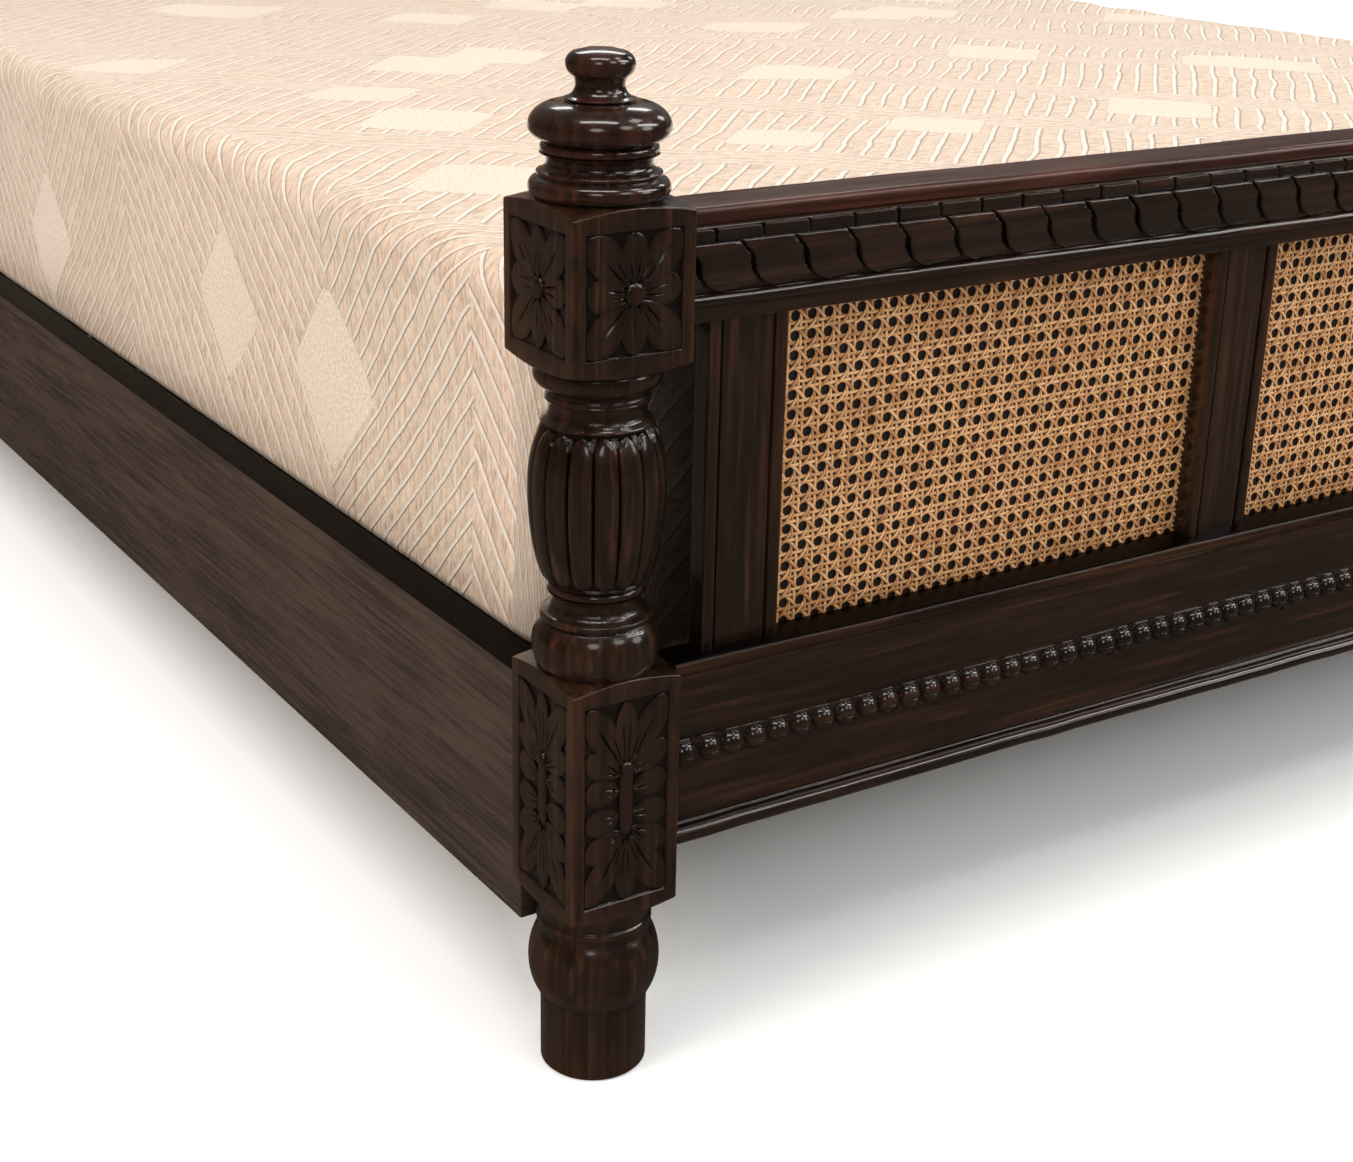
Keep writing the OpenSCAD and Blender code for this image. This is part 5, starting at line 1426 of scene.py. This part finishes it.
FIRST_HOLE = -644.3
CANE_LIGHT, CANE_DARK, CANE_BROWN = (0.80, 0.47, 0.225), (0.52, 0.24, 0.085), (0.20, 0.075, 0.024)
CANE, WEBBING = make_cane(), make_webbing_tree()
BAYS = (("left", -464.75, 365.5), ("centre", 0.0, 450.0), ("right", 464.75, 365.5))
for k, (side_name, centre, width) in enumerate(BAYS):
    cane_bay("foot", side_name, FOOT_FRONT, centre, width, LEDGE_Z + 10, BAY_TOP, fine_cell, 1 + k)
    cane_bay("head", side_name, HEAD_FRONT, centre, width, MID_LEDGE_Z + 10, BAY_TOP + HEAD_RISE, plain_cell,
             5 + k)

# %% [markdown]
# ## Plain joinery
#
# The side rails, slats, ledgers, beam and legs are sawn and planed wood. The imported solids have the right
# shape, so each is copied, its flat faces are joined again, and its outer edges get a narrow two-step
# bevel. The middle line of that bevel is the arris for the rubbed lacquer.


# %% Eased copies
def eased(name, material, width=0.8):
    """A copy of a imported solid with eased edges, which stands for it."""
    bm = bmesh.new()
    bm.from_mesh(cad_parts[name].data)
    bmesh.ops.remove_doubles(bm, verts=bm.verts, dist=1e-5)
    bmesh.ops.dissolve_limit(bm, angle_limit=math.radians(1), verts=bm.verts, edges=bm.edges)
    mark = bm.verts.layers.float.new("arris")
    sharp = [e for e in bm.edges if len(e.link_faces) == 2 and e.is_convex
             and e.calc_face_angle(0) > math.radians(40)]
    made = bmesh.ops.bevel(bm, geom=sharp, offset=width * MM, segments=2, profile=0.5, affect="EDGES",
                           clamp_overlap=True)
    new = set(made["faces"])
    for v in made["verts"]:
        if all(f in new for f in v.link_faces):
            v[mark] = 1.0
    mesh = bpy.data.meshes.new(name + "_eased")
    bm.to_mesh(mesh)
    bm.free()
    mesh.materials.clear()
    mesh.materials.append(material)
    smooth(mesh, 50)
    settle(add_object(name + "_eased", mesh), [name])


def make_plain(name, colour, rough, metal=0.0):
    """A plain finish with a slight mottle: zinc, rubber, and the near-black backing boards, whose
    colour also paints shade.
    """
    material, tree = new_material(name)
    spots = noise(tree, node(tree, "ShaderNodeTexCoord").outputs["Object"], 60.0, 4.0)
    base = blend_colour(tree, ramp(tree, spots, 0.35, 0.65), rgb(colour, 1 - MOTTLE), rgb(colour, 1 + MOTTLE))
    normal = node(tree, "ShaderNodeBump", {"Strength": 0.1, "Distance": 0.0004, "Height": spots}).outputs[0]
    shader = node(tree, "ShaderNodeBsdfPrincipled", {
        "Base Color": base, "Metallic": metal, "Normal": normal,
        "Roughness": ramp(tree, spots, 0.3, 0.7, rough - 0.06, rough + 0.06)})
    node(tree, "ShaderNodeOutputMaterial", {"Surface": shader.outputs[0]})
    return material


def paint(name, material):
    """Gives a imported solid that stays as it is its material."""
    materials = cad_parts[name].data.materials
    materials.clear()
    materials.append(material)


MOTTLE = 0.12
# The rail's upper face gets the painted top shade
RAIL_STAIN = make_lacquer("rail_stain", "lengthwise", (0.034, 0.0235, 0.0180), (0.068, 0.0470, 0.0360),
                          (0.074, 0.050, 0.038), rough=0.55, coat=0.05, fineness=300.0, show=(0.36, 0.62),
                          rubbed_and_lit=0.1, pores=1.0, bump=0.6, painted_top_shade=1.0, patch=0.35)
# Stained near black, which also paints the shade in the gap between the rail and the mattress
STAINED_PINE_AND_SHADE = {along: make_lacquer("stained_pine_and_shade_" + along, along, (0.020, 0.013, 0.009), (0.036, 0.024, 0.017),
                            (0.042, 0.025, 0.016), rough=0.6, coat=0.0, fineness=90.0, show=(0.3, 0.7),
                            rubbed_and_lit=0.3, pores=0.2)
        for along in GRAIN_ALONG}
DARK_STAIN_AND_SHADE = make_plain("dark_stain_and_shade", (0.016, 0.010, 0.007), 0.7)
ZINC = make_plain("zinc", (0.50, 0.50, 0.51), 0.38, metal=1.0)
# The screws are as dark as the slats, which also paints the shade in that gap
DARK_STEEL_AND_SHADE = make_plain("dark_steel_and_shade", (0.05, 0.045, 0.04), 0.6, metal=1.0)     # as dark as the slats
RUBBER = make_plain("rubber", (0.03, 0.03, 0.03), 0.75)
for side_name in ("left", "right"):
    eased("side_rail_" + side_name, RAIL_STAIN, 1.0)
    eased("ledger_" + side_name, STAINED_PINE_AND_SHADE["lengthwise"])
eased("slats", STAINED_PINE_AND_SHADE["across"], 1.2)
eased("centre_beam", STAINED_PINE_AND_SHADE["lengthwise"], 1.2)
eased("centre_legs", STAINED_PINE_AND_SHADE["up"], 1.0)
for name, material in (("slat_screws", DARK_STEEL_AND_SHADE), ("beam_hangers", ZINC), ("rail_hooks", ZINC),
                       ("catch_plates", ZINC), ("leg_pads", RUBBER)):
    paint(name, material)
# The backing boards behind the webbing are near black, which also paints the shade behind it
for end_name, (side_name, _, _) in itertools.product(("foot", "head"), BAYS):
    paint(end_name + "_backing_" + side_name, DARK_STAIN_AND_SHADE)

# %% [markdown]
# ## Mattress
#
# The mattress is a stack of rings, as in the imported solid, but far finer, and its cover swells and sags a
# little as foam and cloth do. Each point also gets a cloth coordinate, as if the cover were unfolded flat:
# true on the top, and running on down the sides, so that the jacquard crosses the edge without a break.

# %% Mattress mesh
MATTRESS = dict(w=1524.0, l=2032.0, h=254.0, crown=6.0, edge=26.0, low_edge=13.0, corner=70.0, draw=4.0,
                z=250.0)
CORNER_STEPS, SIDE_STEP = 14, 13.0


def mattress_plan(inset):
    """Points round the mattress at an inset, and the outward direction of each."""
    w, l = MATTRESS["w"] / 2 - inset, MATTRESS["l"] / 2 - inset
    r = max(MATTRESS["corner"] - inset, 4.0)
    full_w, full_l = MATTRESS["w"] / 2 - MATTRESS["corner"], MATTRESS["l"] / 2 - MATTRESS["corner"]
    n_w, n_l = int(2 * full_w / SIDE_STEP), int(2 * full_l / SIDE_STEP)
    points, out = [], []
    corners = [(1, 1, 0), (-1, 1, 90), (-1, -1, 180), (1, -1, 270)]
    for k, (sx, sy, a0) in enumerate(corners):
        for i in range(CORNER_STEPS + 1):
            a = math.radians(a0 + 90 * i / CORNER_STEPS)
            points.append((sx * (w - r) + r * math.cos(a), sy * (l - r) + r * math.sin(a)))
            out.append((math.cos(a), math.sin(a)))
        nx, ny, a1 = corners[(k + 1) % 4]
        a = math.radians(a1)
        start = np.array(points[-1])
        end = np.array((nx * (w - r) + r * math.cos(a), ny * (l - r) + r * math.sin(a)))
        count = n_w if k % 2 == 0 else n_l
        for i in range(1, count):
            points.append(tuple(start + (end - start) * i / count))
            out.append((math.cos(a), math.sin(a)))
    return np.array(points), np.array(out)


def mattress_levels():
    """Inset and height of each ring, from the middle of the bottom to the middle of the top."""
    r, low, h, c, d = (MATTRESS[k] for k in ("edge", "low_edge", "h", "crown", "draw"))
    levels = [(260.0, 0.0), (120.0, 0.0), (60.0, 0.0)]
    levels += [(low - low * math.sin(math.radians(a)), low - low * math.cos(math.radians(a)))
               for a in range(0, 91, 10)]
    for i in range(1, 19):
        t = i / 19
        levels.append((d * math.sin(math.pi * t), low + (h - low - r) * t))
    levels += [(r - r * math.cos(math.radians(a)), h - r + r * math.sin(math.radians(a)))
               for a in range(0, 91, 9)]
    reach = MATTRESS["w"] / 2 - r
    for i in range(1, 66):
        t = i / 67
        levels.append((r + reach * t, h + c * math.sin(math.pi / 2 * min(1, t * 1.05))))
    return levels


def soft_noise(p, seed, scale):
    """A smooth random field at points p (millimetres): a few waves with random ways and turns."""
    rng = np.random.default_rng(seed)
    total = np.zeros(len(p))
    for _ in range(14):
        way = rng.normal(size=3)
        way *= 2 * np.pi / scale * rng.uniform(0.6, 1.5) / np.linalg.norm(way)
        total += np.sin(p @ way + rng.uniform(0, 6.28))
    return total / 3.0


# %% [markdown]
# The jacquard is built of straight lines at 45 degrees. In most of it they lean one way; in bands, and in
# zigzags on the sides, they lean the other way; and pale squares that stand on a corner are set among them.
# The layout is laid down in cloth coordinates as two distance marks per point, to the nearest square and to
# the nearest change of lean. A distance can be interpolated over a coarse mesh and still gives the shader a
# sharp edge.

# %% Jacquard layout
# Centre (across, along) and half diagonal of the pale squares in one repeat of the cloth, in millimetres
SQUARES = [(-918, 52, 70), (-884, -440, 66), (-897, -652, 76), (-672, 28, 66), (-545, -258, 62),
           (-308, -78, 68), (-102, -333, 76), (95, 26, 84), (-35, 338, 78), (-402, 450, 80), (-645, -690, 70),
           (-345, -640, 54), (-170, -637, 58), (95, -645, 68), (220, -262, 70), (432, -480, 70),
           (405, 110, 76), (560, 420, 70)]
BANDS, BAND_HALF, BANDS_REPEAT = (-1120.0, -798.0, -525.0, -327.0, -60.0, 190.0, 420.0), 34.0, 1240
ZIGZAG, ZIGZAG_REPEAT = (-888.0, -652.0), 694.0


def square_distance(cloth):
    """Distance to the nearest square, negative inside. The far half of the cloth repeats the near half,
    turned."""
    best = np.full(len(cloth), 1e3)
    for sign in (1, -1):
        for x, y, half in SQUARES:
            if sign < 0 and y > -100 and abs(x) < 200:
                continue
            d = np.abs(cloth[:, 0] - sign * x) + np.abs(cloth[:, 1] - sign * y) - half
            best = np.minimum(best, d / math.sqrt(2))
    return best


def lean_distance(cloth, side):
    """Distance to the nearest change of lean, positive where the lines lean against the rest."""
    u = (cloth[:, 0] + cloth[:, 1]) / math.sqrt(2)
    top = np.max([BAND_HALF - np.abs(u - c - shift) for shift in (0, BANDS_REPEAT) for c in BANDS], axis=0)
    y = (cloth[:, 1] - ZIGZAG[0]) % ZIGZAG_REPEAT + ZIGZAG[0]
    down = np.minimum(y - ZIGZAG[0], ZIGZAG[1] - y)
    up = np.maximum(ZIGZAG[1] - y, y - (ZIGZAG[0] + ZIGZAG_REPEAT))
    zig = np.where((y >= ZIGZAG[0]) & (y <= ZIGZAG[1]), down, up)
    return np.where(side, zig, top)


def make_mattress():
    levels = mattress_levels()
    z0, edge = MATTRESS["z"], MATTRESS["edge"]
    insets, heights = np.array([l[0] for l in levels]), np.array([l[1] for l in levels])
    length = np.concatenate([[0], np.cumsum(np.hypot(np.diff(insets), np.diff(heights)))])
    top_start = max(i for i, l in enumerate(levels) if abs(l[0] - edge) < 0.01 and l[1] > 200)
    below = length[top_start] - length
    base, out = mattress_plan(0.0)
    edge_plan, _ = mattress_plan(edge)
    rows, cloth, depth, outward = [], [], [], []
    for k, (inset, height) in enumerate(levels):
        plan, _ = mattress_plan(inset)
        rows.append(np.column_stack([plan, np.full(len(plan), z0 + height)]))
        cloth.append(plan if k >= top_start else edge_plan + out * below[k])
        depth.append(np.full(len(plan), below[k]))
        tilt = math.radians(90) * min(1.0, max(0.0, 1 - below[k]
                                               / (math.pi / 2 * edge))) if k < top_start else math.pi / 2
        outward.append(np.column_stack([out * math.cos(tilt), np.full(len(plan), math.sin(tilt))]))
    n, m = len(base), len(levels)
    points = np.concatenate(rows + [[[0, 0, z0], [0, 0, z0 + MATTRESS["h"] + MATTRESS["crown"]]]])
    cloth = np.concatenate(cloth + [[[0, 0], [0, 0]]])
    depth = np.concatenate(depth + [[0, -900]])
    outward = np.concatenate(outward + [[[0, 0, -1], [0, 0, 1]]])
    free = np.clip((points[:, 2] - z0 - 6) / 30, 0, 1)           # the underside stays flat on the slats
    swell = 1.6 * soft_noise(points, 3, 420) + 0.8 * soft_noise(points, 4, 150)
    swell += 0.9 * np.exp(-((depth - 20) / 30) ** 2) * soft_noise(points, 5, 90)
    points = points + outward * (free * np.clip(swell, -4.5, 4.0))[:, None]
    mesh = bpy.data.meshes.new("mattress_cover")
    mesh.from_pydata((points * MM).tolist(), [], ring_faces(m, n))
    layer = mesh.uv_layers.new(name="cloth")
    corner = np.zeros(len(mesh.loops), dtype=np.int32)
    mesh.loops.foreach_get("vertex_index", corner)
    layer.data.foreach_set("uv", (cloth[corner] * MM).astype(np.float32).ravel())
    for label, values in (("square", square_distance(cloth)), ("lean", lean_distance(cloth, depth > 2.0))):
        mark_points(mesh, label, values)
    mesh.materials.append(TICKING)
    mesh.shade_smooth()
    piece = settle(add_object("mattress_cover", mesh), ["mattress"], "mattress")
    return piece


# %% Ticking
CLOTH_GROUND, CLOTH_SHADE, CLOTH_PALE = (0.84, 0.660, 0.505), (0.50, 0.340, 0.225), (0.94, 0.83, 0.71)
SQUARE_TONE, SQUARE_SHADE = (0.90, 0.78, 0.65), (0.70, 0.565, 0.43)
CORD_PITCH, AGAINST_PITCH = 0.0192, 0.0150          # from cord to cord, in metres, by the cords' lean


def make_ticking():
    """Jacquard ticking: pale cords at 45 degrees on a slubbed ground that puckers between them, and pale
    squares."""
    material, tree = new_material("ticking")
    cloth = node(tree, "ShaderNodeUVMap", uv_map="cloth").outputs[0]
    spot = vector_math(tree, "ADD", cloth, scaled(tree, drift(tree, cloth, 8.0, 2.5), 0.018))

    def drawn_out(turn, share):
        """The cloth coordinate, turned, with lengths along its new X shortened to a share."""
        return node(tree, "ShaderNodeMapping", {"Vector": spot, "Rotation": (0, 0, turn),
                                                "Scale": (share, 1, 1)}).outputs[0]

    apart = node(tree, "ShaderNodeSeparateXYZ", {0: drawn_out(-math.pi / 4, 1)}).outputs
    against = math_node(tree, "GREATER_THAN", mesh_mark(tree, "lean"), 0.0)
    phase = blend_number(tree, against, times(tree, apart["Y"], 1 / CORD_PITCH),
                         times(tree, apart["X"], 1 / AGAINST_PITCH))
    share = math_node(tree, "PINGPONG", phase, 0.5)              # 0 on a cord, 0.5 midway between two
    rough_edge = ramp(tree, noise(tree, cloth, 420.0, 2.0), 0.2, 0.8, -0.018, 0.018)
    cord = ramp(tree, plus(tree, share, rough_edge), 0.16, 0.07)
    cord = times(tree, cord, ramp(tree, noise(tree, cloth, 130.0, 3.0), 0.28, 0.5, 0.6, 1.0))
    ragged = ramp(tree, noise(tree, cloth, 160.0, 3.0), 0.2, 0.8, -1.6, 1.6)
    pale = ramp(tree, plus(tree, mesh_mark(tree, "square"), ragged), 0.6, -0.6)
    cord = times(tree, cord, minus(tree, 1.0, pale))
    slub = noise(tree, drawn_out(-0.12, 0.13), 560.0, 4.0, 0.65, 0.6)
    crinkle = noise(tree, drawn_out(0.2, 0.22), 260.0, 2.5, 0.6, 0.8)
    pebble = noise(tree, cloth, 340.0, 3.0, 0.7)
    weave_and_shade = plus(tree, times(tree, slub, 0.55), times(tree, crinkle, 0.45))
    # The darker parts of the weave are the yarn's own tone, and also painted shade in the crinkles
    ground = blend_colour(tree, ramp(tree, weave_and_shade, 0.37, 0.58), rgb(CLOTH_SHADE), rgb(CLOTH_GROUND))
    # Each cord throws a thin shade on one side, where the cloth is drawn in under it
    lee = math_node(tree, "ABSOLUTE", minus(tree, math_node(tree, "FRACT", phase), 0.845))
    ground = blend_colour(tree, ramp(tree, lee, 0.015, 0.06, 0.9, 0.0), ground, rgb(CLOTH_SHADE, 0.62))
    tint = blend_colour(tree, ramp(tree, pebble, 0.40, 0.58), rgb(SQUARE_SHADE), rgb(SQUARE_TONE))
    base = blend_colour(tree, times(tree, pale, 0.95), ground, tint)
    base = blend_colour(tree, times(tree, cord, 0.95), base, rgb(CLOTH_PALE))
    # Painted shade: the ends stand close to the boards, where hardly any light falls, so the ambient
    # occlusion darkens their colour
    close = node(tree, "ShaderNodeAmbientOcclusion", {"Distance": 0.15}, samples=4).outputs["AO"]
    at_end = ramp(tree, math_node(tree, "ABSOLUTE", facing(tree)["Y"]), 0.2, 0.6)
    painted_end_shade = times(tree, ramp(tree, close, 0.3, 0.75, 0.9, 0.0), at_end)
    base = blend_colour(tree, painted_end_shade, base, rgb(CLOTH_SHADE, 0.08))
    puff = times(tree, math_node(tree, "POWER", times(tree, share, 2.0), 0.6), 0.55)
    height = times(tree, puff, minus(tree, 1.0, pale))
    crumple = times(tree, crinkle, minus(tree, 1.0, times(tree, pale, 0.7)))
    for form, lift in ((cord, 0.75), (pale, 0.35), (slub, 0.6), (pebble, 0.25), (crumple, 0.9)):
        height = plus(tree, height, times(tree, form, lift))
    normal = node(tree, "ShaderNodeBump", {"Strength": 1.0, "Distance": 0.0024, "Height": height}).outputs[0]
    sheen = times(tree, minus(tree, 1.0, painted_end_shade), 0.65)
    shader = node(tree, "ShaderNodeBsdfPrincipled", {
        "Base Color": base, "Roughness": 0.82, "Normal": normal, "Sheen Roughness": 0.35,
                                                     "Sheen Weight": sheen,
        "Specular IOR Level": 0.3})
    node(tree, "ShaderNodeOutputMaterial", {"Surface": shader.outputs[0]})
    return material


TICKING = make_ticking()
mattress = make_mattress()
print("mattress:", len(mattress.data.polygons), "faces")
